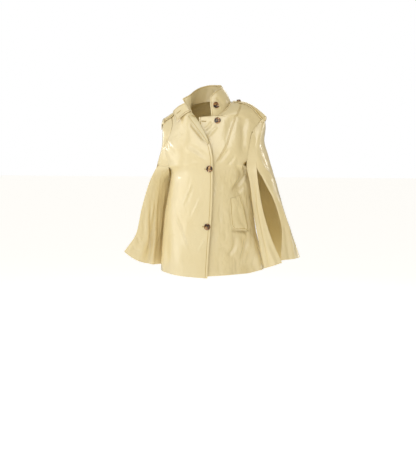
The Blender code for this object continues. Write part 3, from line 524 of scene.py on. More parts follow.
def noiseOf(tree, place, values):
    return addNode(tree, "ShaderNodeTexNoise", values, {"Vector": place}).outputs["Fac"]


def bumpOf(tree, height, strength, distance, under=None):  # a bumped normal, over another one if given
    links = {"Height": height} if under is None else {"Height": height, "Normal": under}
    bump = addNode(tree, "ShaderNodeBump", {"Strength": strength, "Distance": distance}, links)
    return bump.outputs["Normal"]


def mixOf(tree, share, *colours):  # two colours, as linear values or sockets, mixed by a share
    plain = {6 + k: colour for k, colour in enumerate(colours) if isinstance(colour, list)}
    linked = {6 + k: colour for k, colour in enumerate(colours) if not isinstance(colour, list)}
    return addNode(tree, "ShaderNodeMix", {"data_type": "RGBA", **plain}, {0: share, **linked}).outputs[2]


def mathOf(tree, operation, *given):  # one operation on sockets or plain numbers
    plain = {k: value for k, value in enumerate(given) if isinstance(value, float)}
    linked = {k: value for k, value in enumerate(given) if not isinstance(value, float)}
    return addNode(tree, "ShaderNodeMath", {"operation": operation, **plain}, linked).outputs[0]


def sizeOf(tree, attribute):  # an attribute of the mesh, without its sign
    read = addNode(tree, "ShaderNodeAttribute", {"attribute_name": attribute})
    return mathOf(tree, "ABSOLUTE", read.outputs["Fac"])


def grooveOf(tree, distance, reach):  # 0 on a line, rising to 1 at some reach from it
    values = {"interpolation_type": "SMOOTHSTEP", "From Min": 0.0, "From Max": reach,
              "To Min": 0.0, "To Max": 1.0}
    return addNode(tree, "ShaderNodeMapRange", values, {"Value": distance}).outputs["Result"]


patentFinish = {
    "butter": "#EADBAF",
    "shade": "#E4D09A",
    "paintedGrooveShade": "#C6A85C",  # painted shade: the dents that stitches pull into the film, drawn darker
    "crinkleSize": 0.013,  # metres, soft crinkles of the coating over its cloth
    "crinkleDepth": 0.0012,
    "grainSize": 0.0024,  # real grain is about 0.8 mm, drawn coarser so that it shows
    "grainDepth": 0.00012,
    "stitchGroove": 0.0022,  # half width of the dent that topstitching pulls in
    "grooveDepth": 0.0006,
    "seamGroove": 0.0012,
    "seamRows": 0.0035,  # from a seam to the rows of stitches on both sides of it
    "roughness": (0.30, 0.44),
    "coatRoughness": 0.10,
    "gloss": 0.6,
    "index": 1.56,
}


# Polyurethane-coated cloth, cast smooth: an even butter colour under a wet-looking film
def patentCoatedCloth(name, finish):
    material, tree = newMaterial(name)
    place = placeOf(tree)
    patches = noiseOf(tree, place, {"Scale": 6.0, "Detail": 2.0})
    colour = mixOf(tree, patches, toLinear(finish["butter"]), toLinear(finish["shade"]))
    crinkle = noiseOf(tree, place, {"Scale": 1.0 / finish["crinkleSize"], "Detail": 3.0,
                                    "Roughness": 0.45, "Distortion": 0.5})
    grain = addNode(tree, "ShaderNodeTexVoronoi",
                    {"feature": "SMOOTH_F1", "Scale": 1.0 / finish["grainSize"]}, {"Vector": place})
    stitching = grooveOf(tree, sizeOf(tree, "fromStitch"), finish["stitchGroove"])
    beside = sizeOf(tree, "fromSeam")
    besideRows = mathOf(tree, "ABSOLUTE", mathOf(tree, "SUBTRACT", beside, finish["seamRows"]))
    seam = grooveOf(tree, mathOf(tree, "MINIMUM", beside, besideRows), finish["seamGroove"])
    lines = mathOf(tree, "MINIMUM", stitching, seam)
    # painted shade: stitch and seam grooves mixed towards a darker tone
    shadedInGrooves = mixOf(tree, lines, toLinear(finish["paintedGrooveShade"]), colour)
    soft = bumpOf(tree, crinkle, 0.6, finish["crinkleDepth"])
    sewn = bumpOf(tree, lines, 1.0, finish["grooveDepth"], soft)
    fine = bumpOf(tree, grain.outputs["Distance"], 0.5, finish["grainDepth"], sewn)
    low, high = finish["roughness"]
    worn = addNode(tree, "ShaderNodeMapRange",
                   {"From Min": 0.3, "From Max": 0.7, "To Min": low, "To Max": high}, {"Value": patches})
    surface(tree, {"IOR": finish["index"], "Coat Weight": 1.0, "Specular IOR Level": finish["gloss"],
                   "Coat IOR": finish["index"], "Coat Roughness": finish["coatRoughness"]},
            {"Base Color": shadedInGrooves, "Roughness": worn.outputs["Result"], "Normal": fine, "Coat Normal": sewn})
    return material


liningFinish = {"warp": "#D9C58C", "weft": "#CDB879", "twill": 0.0016}  # drawn coarser than 0.4 mm to show


def satinLining(finish):  # woven viscose lining: tonal, matt, with a fine diagonal rib
    material, tree = newMaterial("satinLining")
    turned = addNode(tree, "ShaderNodeMapping", {"Rotation": (0.0, 0.0, math.radians(45.0))},
                     {"Vector": placeOf(tree, "UV")})
    wave = {"Scale": 1.0 / (finish["twill"] * 3.14), "Distortion": 0.4, "Detail": 1.0}
    rib = addNode(tree, "ShaderNodeTexWave", wave, {"Vector": turned.outputs["Vector"]}).outputs["Fac"]
    colour = mixOf(tree, rib, toLinear(finish["warp"]), toLinear(finish["weft"]))
    surface(tree, {"Roughness": 0.55, "Sheen Weight": 0.2},
            {"Base Color": colour, "Normal": bumpOf(tree, rib, 0.3, 0.0001)})
    return material


threadFinish = {"thread": "#CBB06A", "twist": 0.0012}


def polyesterThread(finish):  # corespun sewing thread: tonal, a little darker, with a soft twist
    material, tree = newMaterial("polyesterThread")
    twist = noiseOf(tree, placeOf(tree), {"Scale": 1.0 / finish["twist"]})
    surface(tree, {"Base Color": toLinear(finish["thread"]), "Roughness": 0.5},
            {"Normal": bumpOf(tree, twist, 0.4, 0.0001)})
    return material


resinFinish = {
    "cloud": 0.012,
    "tones": ((0.40, "#1E0E06"), (0.49, "#4E2710"), (0.57, "#A8703A"), (0.66, "#E3C48C")),
}


# Cast polyester resin, polished: dark brown with clouded amber and cream patches
def tortoiseshellResin(finish):
    material, tree = newMaterial("tortoiseshellResin")
    cloud = noiseOf(tree, placeOf(tree), {"Scale": 1.0 / finish["cloud"], "Detail": 3.0, "Roughness": 0.55,
                                          "Distortion": 0.8})
    ramp = addNode(tree, "ShaderNodeValToRGB", links={"Fac": cloud})
    stops = ramp.color_ramp.elements
    stops.remove(stops[1])
    for number, (spot, tone) in enumerate(finish["tones"]):
        stop = stops.new(spot) if number else stops[0]
        stop.position, stop.color = spot, toLinear(tone)
    surface(tree, {"Roughness": 0.22, "IOR": 1.54, "Coat Weight": 0.6, "Coat Roughness": 0.05},
            {"Base Color": ramp.outputs["Color"]})
    return material


gapFinish = {"shadeInside": "#7A6432", "lint": "#9C8448"}


def shadedGap(finish):  # painted shade: a dark sheet for the shade inside a cut buttonhole, with a little thread lint
    material, tree = newMaterial("buttonholeGapShade")
    lint = noiseOf(tree, placeOf(tree), {"Scale": 900.0})
    colour = mixOf(tree, lint, toLinear(finish["shadeInside"]), toLinear(finish["lint"]))
    surface(tree, {"Roughness": 0.9}, {"Base Color": colour})
    return material


# painted shade: the facing is the same coated cloth, given a darker copy where it turns away from the light
facingShadedFinish = {**patentFinish, "butter": "#DCCD9C", "shade": "#D4C28C"}
patent = patentCoatedCloth("patentCoatedCloth", patentFinish)
facingShadedCloth = patentCoatedCloth("patentCoatedFacingShade", facingShadedFinish)
lining = satinLining(liningFinish)
thread = polyesterThread(threadFinish)
resin = tortoiseshellResin(resinFinish)
gap = shadedGap(gapFinish)
print("materials made")

wall, shoulder = bodySections["wall"], bodySections["shoulder"]

# Fronts
rightFront = {
    "columns": 128, "rowCount": 250,
    "folds": ((0.36, -1.0, 2.4, 0.03, 0.006, 0.14), (0.62, -1.0, 2.6, 0.03, -0.008, 0.12),
              (0.50, 3.2, 6.6, -0.03, -0.006, 0.12)),
    "creases": (
        crease(((0.47, 6.05), (0.25, 5.50), (0.088, 4.95)), 0.0040, 0.010, lip=0.5),
        crease(((0.26, 3.8), (0.30, 3.3), (0.35, 2.9), (0.40, 2.6)), 0.0032, 0.006, lip=0.4),
        crease(((0.525, 2.45), (0.425, 2.05), (0.30, 1.35), (0.213, 0.75)), 0.0034, 0.006, lip=0.4),
        crease(((0.138, 3.1), (0.175, 2.7), (0.25, 2.2)), 0.0034, 0.006, lip=-0.5),
        crease(((0.05, 1.45), (0.088, 1.1), (0.125, 0.8)), 0.0032, 0.006, lip=-0.5),
        crease(((0.25, 7.65), (0.10, 6.6), (0.035, 5.8)), -0.0075, 0.008, tails=(0.1, 0.5)),
        crease(((0.97, 6.4), (0.78, 5.8), (0.6, 5.3)), -0.0035, 0.013, lip=0.5, tails=(0.05, 0.5)),
        crease(((0.78, 1.55), (0.6, 1.5), (0.4, 1.5)), -0.0018, 0.008),
    ),
    "crumples": (
        crumple(0.075, 2.0, 0.0022, (1.0, 2.0, 3.0), fade=(7.5, 9.5, 0.3)),
        crumple(0.026, 2.4, 0.0009, (2.0, 9.0, 3.0), fade=(3.4, 5.4, 0.25), octaves=2),
    ),
    "calm": ((0.042, 4.47, 0.022, 0.1), (0.038, 1.93, 0.022, 0.1), (0.80, 6.4, 0.030, 0.35)),
    "stitchIn": 0.010,
}
leftFront = {
    "columns": 120, "rowCount": 250,
    "folds": ((0.62, -1.0, 2.2, 0.05, -0.012, 0.10), (0.80, -1.0, 1.8, 0.02, 0.010, 0.09),
              (0.66, 2.6, 5.6, 0.085, -0.013, 0.08), (0.52, 5.6, 8.6, 0.02, -0.009, 0.09)),
    "creases": (
        crease(((0.2, 7.55), (0.15, 7.2), (0.062, 6.85)), -0.005, 0.008, lip=0.4),
        crease(((0.312, 7.2), (0.2, 6.75), (0.113, 6.35)), 0.005, 0.009),
        crease(((0.58, 9.3), (0.80, 7.2), (0.86, 6.3), (0.80, 5.5)), -0.013, 0.019),
        crease(((0.988, 5.05), (0.713, 3.95), (0.60, 3.6), (0.488, 3.4), (0.388, 2.9)),
               -0.014, 0.012, lip=-0.5, tails=(0.0, 0.4)),
        crease(((0.463, 1.6), (0.425, 1.1), (0.312, 0.7)), -0.008, 0.010, lip=0.5),
        crease(((0.713, 5.65), (0.575, 5.2), (0.413, 4.65)), -0.0030, 0.008, lip=0.4),
        crease(((0.562, 6.0), (0.425, 5.45), (0.288, 4.9)), -0.0026, 0.008, lip=0.4),
        crease(((0.30, 0.2), (0.50, 0.1), (0.80, 0.2)), -0.018, 0.060, tails=(0.3, 0.2)),
        crease(((0.288, 3.05), (0.25, 2.35), (0.263, 1.55)), -0.0035, 0.010, lip=-0.4),
        crease(((0.663, 1.5), (0.588, 0.9), (0.475, 0.45)), -0.009, 0.011, lip=0.5),
        crease(((0.40, 1.77), (0.55, 1.70), (0.71, 1.63)), -0.008, 0.009, tails=(0.2, 0.2)),
        crease(((0.725, 1.60), (0.69, 2.3), (0.65, 3.0)), -0.008, 0.010, tails=(0.1, 0.5)),
    ),
    "crumples": (
        crumple(0.070, 1.9, 0.0026, (4.0, 1.0, 9.0), fade=(7.5, 9.5, 0.3)),
        crumple(0.023, 2.2, 0.0030, (7.0, 4.0, 1.0), fade=(3.2, 5.6, 0.2), octaves=2),
    ),
    "calm": ((0.275, 7.50, 0.022, 0.1),),
    "stitchIn": 0.008,
    "dartSeam": ((0.27, 10.75), (0.325, 10.25), (0.388, 9.65), (0.488, 8.9), (0.582, 7.7), (0.575, 7.3),
                 (0.537, 6.65), (0.488, 6.15), (0.388, 5.6), (0.30, 5.2)),
    "dartStitch": 0.0035,
}


def frontPanel(side, plan):
    across = np.linspace(0.0, 1.0, plan["columns"])
    levels = evenly(lambda rows, t: bodyPoints(side, front, rows, t), 0.0, shoulder, plan["rowCount"])
    return dress(makePanel(bodyPoints(side, front, levels, across), side, levels, across), plan)


rightPanel = frontPanel(right, rightFront)
leftPanel = frontPanel(left, leftFront)
rightGroove = distanceIn(rightPanel, ("first",)) - rightFront["stitchIn"]
leftGroove = distanceIn(leftPanel, ("first",)) - leftFront["stitchIn"]
sideReach = ((0.0, 0.007), (4.5, 0.006), (7.0, 0.003), (9.0, 0.0014), (11.0, 0.0012))  # level, metres
shoulderReach = ((0.0, 0.006), (1.0, 0.006))
rightCoat = clothPiece("right_front", panelFaces(rightPanel), wall, (patent, lining), rightGroove,
                       [seamTape(rightPanel, "last", (0.0, 11.0), sideReach),
                        seamTape(rightPanel, "high", (0.02, 0.98), shoulderReach)])
leftCoat = clothPiece("left_front", panelFaces(leftPanel), wall, (patent, lining), leftGroove,
                      [seamTape(leftPanel, "last", (0.0, 11.0), sideReach),
                       seamTape(leftPanel, "high", (0.02, 0.98), shoulderReach)],
                      distanceFrom(leftPanel, leftFront["dartSeam"]))
settle(rightCoat, "front_right", [rightPanel])
settle(leftCoat, "front_left", [leftPanel])
print("fronts made")

# Back
backPlan = {
    "columns": 80, "rowCount": 240,
    "folds": ((0.22, -1.0, 3.6, 0.02, 0.012, 0.10), (0.46, -1.0, 3.2, 0.02, -0.012, 0.10),
              (0.70, -1.0, 3.4, 0.01, 0.010, 0.10)),
    "creases": {
        left: (
            crease(((0.9, 6.2), (0.62, 5.2), (0.40, 4.4)), -0.005, 0.013, lip=0.5, tails=(0.05, 0.5)),
            crease(((0.35, 4.6), (0.30, 3.0), (0.34, 1.2)), -0.004, 0.013, lip=0.4),
            crease(((0.82, 3.6), (0.76, 2.4), (0.80, 1.0)), -0.004, 0.011, lip=-0.4),
        ),
        right: (
            crease(((0.92, 5.9), (0.66, 5.0), (0.50, 4.1)), -0.005, 0.014, lip=-0.5, tails=(0.05, 0.5)),
            crease(((0.55, 3.8), (0.58, 2.4), (0.54, 0.9)), -0.004, 0.012, lip=-0.4),
            crease(((0.20, 6.4), (0.30, 5.2), (0.26, 4.0)), -0.003, 0.013),
        ),
    },
    "crumples": (
        crumple(0.080, 2.1, 0.0026, (2.0, 6.0, 4.0), fade=(7.2, 9.0, 0.3)),
        crumple(0.025, 2.3, 0.0010, (6.0, 1.0, 8.0), fade=(3.4, 5.6, 0.25), octaves=2),
    ),
    "nape": 8.0,  # above this level the two halves part along the neckline
}


def backHalf(side, plan):
    across = np.linspace(0.0, 1.0, plan["columns"])
    levels = evenly(lambda rows, t: bodyPoints(left, back, rows, t), 0.0, shoulder, plan["rowCount"])
    half = makePanel(bodyPoints(side, back, levels, across), -side, levels, across)
    return dress(half, {**plan, "creases": plan["creases"][side]})


def joinedHalves(one, other, nape):  # one cloth from two halves that share their centre line
    points, normals, faces, cut = panelFaces(one)
    more, moreNormals, moreFaces, moreCut = panelFaces(other)
    columns = len(one["across"])
    shared = np.flatnonzero(one["rows"] <= nape) * columns
    points[shared] = more[shared] = 0.5 * (points[shared] + more[shared])
    middle = normals[shared] + moreNormals[shared]
    normals[shared] = middle / np.linalg.norm(middle, axis=1, keepdims=True)
    number = np.arange(len(more)) + len(points)
    number[shared] = shared
    used, packed = np.unique(np.concatenate((np.arange(len(points)), number)), return_inverse=True)
    every = np.concatenate((points, more))[used]
    everyNormal = np.concatenate((normals, moreNormals))[used]
    everyCut = np.concatenate((cut, moreCut * (-1, 1)))[used]
    return every, everyNormal, np.concatenate((faces, packed[len(points):][moreFaces])), everyCut


backLeft, backRight = backHalf(left, backPlan), backHalf(right, backPlan)
backShell = joinedHalves(backLeft, backRight, backPlan["nape"])
backCoat = clothPiece("coat_back", backShell, wall, (patent, lining), None,
                      [seamTape(half, "last", (4.4, 11.0), sideReach) for half in (backLeft, backRight)])
settle(backCoat, "back", [backLeft, backRight])
print("back made")

# Sleeves, ring by ring from the sleeve head 0 to the cuff 7
sleeveSections = {
    "armholeLevels": (7.0, 6.5, 6.0, 5.0),  # body level beside the rings 0 to 3
    "setLow": 0.0011, "setTop": 0.0027, "setLean": 0.4,
    "outer": {  # front, outermost and back point of the rings 1 to 7; the back of 1 to 3 follows the armhole
        left: ((0.2055, -0.070, -0.165, 0.2425, 0.000, -0.095, 0.0, 0.0, 0.0),
               (0.2075, -0.080, -0.205, 0.2380, 0.002, -0.165, 0.0, 0.0, 0.0),
               (0.2115, -0.086, -0.284, 0.2580, 0.004, -0.245, 0.0, 0.0, 0.0),
               (0.2450, -0.075, -0.355, 0.2920, 0.006, -0.365, 0.192, 0.100, -0.385),
               (0.3000, -0.062, -0.470, 0.3340, 0.008, -0.497, 0.212, 0.115, -0.510),
               (0.3300, -0.058, -0.600, 0.3680, 0.010, -0.608, 0.236, 0.124, -0.640),
               (0.3270, -0.078, -0.722, 0.4050, 0.010, -0.717, 0.264, 0.135, -0.762)),
        right: ((0.2120, -0.066, -0.172, 0.2460, 0.000, -0.088, 0.0, 0.0, 0.0),
                (0.2300, -0.070, -0.212, 0.2430, 0.004, -0.165, 0.0, 0.0, 0.0),
                (0.2580, -0.072, -0.287, 0.2620, 0.012, -0.270, 0.0, 0.0, 0.0),
                (0.2850, -0.030, -0.372, 0.2880, 0.030, -0.375, 0.226, 0.105, -0.385),
                (0.3120, -0.008, -0.490, 0.3140, 0.050, -0.495, 0.244, 0.120, -0.510),
                (0.3350, 0.000, -0.610, 0.3380, 0.060, -0.620, 0.260, 0.130, -0.640),
                (0.3620, 0.008, -0.715, 0.3640, 0.075, -0.725, 0.285, 0.140, -0.765)),
    },
    "strip": {  # free inner edge, slit edge, bow and dip of the rings 4 to 7
        left: ((0.182, -0.086, -0.370, 0.222, -0.095, -0.370, 0.003, 0.0),
               (0.196, -0.080, -0.487, 0.245, -0.098, -0.494, 0.005, 0.0),
               (0.222, -0.084, -0.630, 0.285, -0.105, -0.620, 0.007, 0.0),
               (0.252, -0.088, -0.762, 0.335, -0.108, -0.731, 0.008, 0.0)),
        right: ((0.2160, 0.010, -0.372, 0.297, -0.074, -0.370, 0.016, 0.0),
                (0.2325, 0.014, -0.495, 0.334, -0.080, -0.495, 0.022, 0.0),
                (0.2495, 0.014, -0.640, 0.357, -0.086, -0.605, 0.026, 0.010),
                (0.2560, 0.014, -0.766, 0.418, -0.092, -0.698, 0.028, 0.018)),
    },
    "stripStart": 0.2,
    "slitTop": 3,  # last ring that is sewn to the armhole and to the other piece
    "cuff": 7.0,
}
outerPlan = {
    left: {
        "columns": 150, "rowCount": 250,
        "folds": ((0.28, 3.6, 8.4, 0.01, 0.008, 0.10), (0.62, 3.8, 8.4, 0.01, -0.014, 0.12)),
        "creases": (
            crease(((0.10, 2.6), (0.238, 3.5), (0.44, 4.15)), 0.0026, 0.009, tails=(0.15, 0.2)),
            crease(((0.04, 3.9), (0.09, 4.35), (0.13, 4.8)), 0.0030, 0.008, tails=(0.15, 0.2)),
            crease(((0.16, 5.2), (0.15, 6.2), (0.17, 7.0)), -0.006, 0.011, lip=0.5, tails=(0.5, 0.0)),
            crease(((0.42, 4.9), (0.40, 6.0), (0.44, 7.0)), 0.006, 0.013, tails=(0.5, 0.0)),
            crease(((0.78, 3.2), (0.74, 4.6), (0.78, 6.4)), -0.006, 0.013, lip=-0.4),
            crease(((0.55, 1.2), (0.62, 2.0), (0.75, 2.7)), -0.0035, 0.011, lip=0.4),
        ),
        "crumples": (
            crumple(0.065, 2.2, 0.0028, (8.0, 5.0, 1.0), fade=(0.9, 0.2, 0.25)),
            crumple(0.024, 2.6, 0.0012, (1.0, 3.0, 7.0), fade=(4.0, 2.6, 0.2), octaves=2),
        ),
    },
    right: {
        "columns": 96, "rowCount": 210,
        "folds": ((0.35, 3.6, 8.4, 0.01, -0.010, 0.12), (0.66, 3.8, 8.4, 0.01, 0.010, 0.12)),
        "creases": (
            crease(((0.10, 2.9), (0.30, 3.4), (0.55, 3.8)), -0.005, 0.010, lip=0.5),
            crease(((0.50, 4.2), (0.48, 5.6), (0.52, 7.0)), -0.006, 0.013, lip=0.4, tails=(0.4, 0.0)),
            crease(((0.82, 3.2), (0.80, 4.8), (0.84, 6.6)), -0.005, 0.012, lip=-0.4),
            crease(((0.55, 1.3), (0.66, 2.1), (0.80, 2.8)), -0.0035, 0.011, lip=-0.4),
        ),
        "crumples": (
            crumple(0.065, 2.2, 0.0028, (3.0, 7.0, 6.0), fade=(0.9, 0.2, 0.25)),
            crumple(0.024, 2.6, 0.0013, (9.0, 2.0, 5.0), fade=(4.0, 2.6, 0.2), octaves=2),
        ),
    },
}
stripPlan = {
    left: {
        "columns": 40, "rowCount": 210,
        "folds": ((0.50, 4.2, 8.6, 0.02, 0.005, 0.22),),
        "creases": (
            crease(((0.55, 2.9), (0.35, 4.6), (0.31, 6.0), (0.2, 7.0)),
                   -0.0045, 0.009, lip=0.4, tails=(0.3, 0.0)),
            crease(((0.60, 5.9), (0.63, 6.4), (0.66, 7.0)), 0.004, 0.009, tails=(0.5, 0.0)),
        ),
        "crumples": (
            crumple(0.060, 2.4, 0.0020, (8.0, 5.0, 1.0), fade=(1.6, 0.6, 0.2)),
        ),
    },
    right: {
        "columns": 62, "rowCount": 210,
        "folds": ((0.60, 4.0, 9.0, 0.01, 0.008, 0.12), (0.43, 4.2, 9.0, 0.01, -0.010, 0.08),
                  (0.26, 4.2, 8.8, 0.00, 0.006, 0.10)),
        "creases": (
            crease(((0.0, 3.10), (0.5, 3.06), (1.0, 3.02)), -0.006, 0.005, lip=-0.5, tails=(0.0, 0.0)),
            crease(((0.763, 4.52), (0.675, 5.2), (0.588, 5.79), (0.463, 6.51), (0.438, 7.0)),
                   0.004, 0.012, tails=(0.4, 0.0)),
            crease(((0.68, 4.3), (0.58, 5.2), (0.49, 5.8), (0.38, 6.5), (0.34, 7.0)),
                   -0.007, 0.009, tails=(0.4, 0.0)),
            crease(((0.45, 4.0), (0.388, 5.06), (0.325, 5.79), (0.24, 7.0)),
                   0.005, 0.009, tails=(0.3, 0.0)),
            crease(((0.562, 4.6), (0.5, 5.54)), 0.0025, 0.0045),
            crease(((0.30, 4.6), (0.213, 6.22)), -0.0030, 0.007, lip=0.4),
            crease(((0.15, 4.4), (0.125, 5.88), (0.113, 6.9)), 0.0035, 0.006),
            crease(((0.375, 5.93), (0.325, 6.85)), -0.003, 0.005, lip=0.5),
            crease(((0.95, 6.5), (0.80, 6.65), (0.62, 6.6)), -0.003, 0.006, lip=0.5),
            crease(((0.92, 6.1), (0.78, 6.3), (0.66, 6.25)), -0.003, 0.007, lip=0.5),
        ),
        "crumples": (
            crumple(0.060, 2.4, 0.0024, (3.0, 7.0, 6.0), fade=(1.6, 0.6, 0.2)),
            crumple(0.022, 3.4, 0.0018, (4.0, 4.0, 2.0), fade=(3.9, 3.0, 0.1), octaves=2),
        ),
    },
}


def besideArmhole(side, facing, levels):  # an armhole point moved out by the sleeve's set-off
    levels = np.atleast_1d(np.asarray(levels, float))
    low, top = sleeveSections["armholeLevels"][0], shoulder
    share = np.maximum(0.0, levels - low) / (top - low)
    away = sleeveSections["setLow"] + (sleeveSections["setTop"] - sleeveSections["setLow"]) * share
    lean = sleeveSections["setLean"] * facing
    return outerEnd(side, facing, levels) + np.stack((away, lean * away, 0 * away), -1)


def besideRing(rings):  # body level beside a ring of the sleeve
    return np.interp(rings, range(4), sleeveSections["armholeLevels"])


def outerSleevePoints(side, rings, across):  # the sleeve's outer and back piece, as out, y, z
    across = np.asarray(across, float)
    rings = np.asarray(rings, float)
    low = sleeveSections["armholeLevels"][0]
    headLevel = low + (shoulder - low) * (1.0 - np.abs(2.0 * across - 1.0))
    inFront = (across < 0.5)[:, None]
    head = np.where(inFront, besideArmhole(side, front, headLevel), besideArmhole(side, back, headLevel))
    turn = math.pi * np.where(across < 0.5, across, across - 0.5)
    early, late = np.sin(turn), 1.0 - np.cos(turn)
    control = [head]
    for number, row in enumerate(sleeveSections["outer"][side], 1):
        ahead, middle, behind = (np.array(row[k:k + 3]) for k in (0, 3, 6))
        if number <= sleeveSections["slitTop"]:
            behind = besideArmhole(side, back, besideRing(number))[0]
        firstArc = ahead + (middle - ahead) * np.stack((early, late, 2.0 * across), -1)
        secondArc = middle + (behind - middle) * np.stack((late, early, 2.0 * across - 1.0), -1)
        control.append(np.where(inFront, firstArc, secondArc))
    grid = throughRows(control, rings)
    if across[-1] == 1.0:  # the sewn edge follows the armhole between the rings too
        sewn = rings <= sleeveSections["slitTop"]
        miss = besideArmhole(side, back, besideRing(rings)) - grid[:, -1]
        blend = eased(np.clip((across - 0.75) / 0.25, 0.0, 1.0))
        grid += (sewn[:, None] * blend)[..., None] * miss[:, None]
    return grid


def stripSleevePoints(side, rings, across):  # the sleeve's front piece, from the armhole to the seam or slit
    rings = np.asarray(rings, float)
    rows = np.array(sleeveSections["strip"][side])
    whole = np.arange(sleeveSections["slitTop"] + 1.0)
    inner = np.concatenate((besideArmhole(side, front, besideRing(whole)), rows[:, 0:3]))
    slit = np.concatenate((outerSleevePoints(side, whole, [0.0])[:, 0], rows[:, 3:6]))
    shape = np.concatenate((np.zeros((len(whole), 2)), rows[:, 6:8]))
    sewn = (rings <= sleeveSections["slitTop"])[:, None]
    start = np.where(sewn, besideArmhole(side, front, besideRing(rings)), throughRows(inner, rings))[:, None]
    end = np.where(sewn, outerSleevePoints(side, rings, [0.0])[:, 0], throughRows(slit, rings))[:, None]
    bow = throughRows(shape, rings)[:, None]
    t = np.asarray(across, float)[None, :, None]
    lowered = np.concatenate((0 * bow[..., :1], bow), -1)
    return start + (end - start) * t - 4.0 * t * (1.0 - t) * lowered


def sleevePanel(side, pointsAt, plan, start):
    across = np.linspace(0.0, 1.0, plan["columns"])
    rings = evenly(lambda rows, t: pointsAt(side, rows, t), start, sleeveSections["cuff"], plan["rowCount"])
    points = pointsAt(side, rings, across) * (side, 1, 1)
    return dress(makePanel(points, -side, rings, across), plan)


for side, word in ((left, "left"), (right, "right")):
    outer = sleevePanel(side, outerSleevePoints, outerPlan[side], 0.0)
    strip = sleevePanel(side, stripSleevePoints, stripPlan[side], sleeveSections["stripStart"])
    outerPiece = clothPiece(word + "_sleeve_outer", panelFaces(outer), wall, (patent, lining))
    stripPiece = clothPiece(word + "_sleeve_front", panelFaces(strip), wall, (patent, lining), None,
                            [seamTape(strip, "last", (0.3, 2.9), ((0.0, 0.005), (2.5, 0.005), (3.0, 0.002)))])
    settle(outerPiece, "sleeve_back_" + word, [outer])
    settle(stripPiece, "sleeve_front_" + word, [strip])
print("sleeves made")

# Collar: stands on the neckline from the right front round the back to the left front
collarPlan = {
    "columns": 170, "rowCount": 34,
    "top": ((0, -0.139, -0.062, 0.020, 0.004, 0.0), (2, -0.106, -0.030, 0.044, 0.002, 0.0),
            (4, -0.094, 0.008, 0.062, 0.000, 1.0), (6, -0.068, 0.045, 0.080, 0.002, 1.0),
            (10, -0.022, 0.062, 0.090, 0.004, 1.0), (14, 0.022, 0.045, 0.088, 0.004, 1.0),
            (16, 0.036, 0.004, 0.077, 0.006, 1.0), (18, 0.018, -0.046, 0.058, 0.008, 1.0),
            (20, -0.006, -0.078, 0.027, 0.006, 1.0)),  # place along the neckline, x, y, z, bow, tucked in
    "quarters": ((right, front, 0, 4), (right, back, 4, 10), (left, back, 10, 16), (left, front, 16, 20)),
    "set": 0.0007, "tuck": 0.0024, "drop": 0.0020,
    "crumples": (
        crumple(0.050, 1.0, 0.0012, (5.0, 5.0, 5.0)),
    ),
    "creases": (
        crease(((17.6, 0.15), (18.2, 0.45), (18.5, 0.8)), -0.003, 0.009, lip=0.4),
        crease(((2.6, 0.1), (2.2, 0.5), (2.0, 0.85)), -0.0025, 0.009),
        crease(((8.0, 0.2), (9.0, 0.5), (9.4, 0.9)), -0.002, 0.012),
    ),
    "calm": ((19.0, 0.46, 0.020, 0.05), (0.0, 0.4, 0.020, 0.1)),
    "stitchIn": 0.006,
}


def collarPoints(places, heights):
    level = np.interp(places, (0, 4, 10, 16, 20), (9.0, 11.0, 8.0, 11.0, 9.0))
    base = np.zeros((len(places), 3))
    for side, facing, low, high in collarPlan["quarters"]:
        here = (places >= low) & (places <= high)
        edge = innerEdge(side, facing, level[here])
        base[here] = np.stack((side * edge[:, 0], facing * edge[:, 1], edge[:, 2]), -1)
    table = np.array(collarPlan["top"])
    made = throughRows(table[:, 1:], places, table[:, 0])
    top, bow, tucked = made[:, :3], made[:, 3:4], made[:, 4:5]
    outward = (base + top) * (1, 1, 0)
    outward /= np.linalg.norm(outward, axis=1, keepdims=True)
    base = base - outward * tucked * collarPlan["tuck"]
    base[:, 2:] += collarPlan["set"] * (1 - tucked) - collarPlan["drop"] * tucked
    t = np.asarray(heights, float)[:, None, None]
    return base + (top - base) * t + outward * 4.0 * bow * t * (1 - t)


places = np.linspace(0.0, 20.0, collarPlan["columns"])
heights = np.linspace(0.0, 1.0, collarPlan["rowCount"])
collarPanel = dress(makePanel(collarPoints(places, heights), -1, heights, places), collarPlan)
collarGroove = distanceIn(collarPanel, ("first", "last", "high")) - collarPlan["stitchIn"]
collarPiece = clothPiece("stand_collar", panelFaces(collarPanel), wall, (patent,), collarGroove)
settle(collarPiece, "collar", [collarPanel])
print("collar made")

# Throat tab, hanging open from the collar's right end
tabPlan = {
    "sewn": (0.12, 0.72),  # shares of the collar's end where it is sewn on
    "freeLow": (-0.159, -0.102, -0.083), "freeHigh": (-0.190, -0.038, -0.036), "rise": (0.0, -0.003, 0.005),
    "wall": 0.0026, "clear": 0.0008, "columns": 30, "rowCount": 26, "stitchIn": 0.006,
    "buttonhole": ((0.50, 0.5), (0.82, 0.5)),
}


def tabPoints(plan):
    end = collarPanel["points"][:, 0]
    away = collarPanel["points"][8, 0] - collarPanel["points"][8, 6]
    away *= (plan["wall"] + plan["clear"]) / np.linalg.norm(away)
    rows = np.linspace(0.0, 1.0, plan["rowCount"])
    share = plan["sewn"][0] + (plan["sewn"][1] - plan["sewn"][0]) * rows
    sewn = np.stack([np.interp(share, heights, end[:, axis]) for axis in range(3)], -1) + away
    low, high = np.array(plan["freeLow"]), np.array(plan["freeHigh"])
    free = low + (high - low) * rows[:, None]
    t = np.linspace(0.0, 1.0, plan["columns"])[None, :, None]
    arch = np.array(plan["rise"]) * 4.0 * t * (1 - t)
    return makePanel(sewn[:, None] * (1 - t) + free[:, None] * t + arch, -1, rows, t[0, :, 0])


tabPanel = tabPoints(tabPlan)
tabGroove = distanceIn(tabPanel, ("low", "high", "last")) - tabPlan["stitchIn"]
tabPiece = clothPiece("throat_tab", panelFaces(tabPanel), tabPlan["wall"], (patent,), tabGroove)
settle(tabPiece, "collar_tab", [tabPanel])

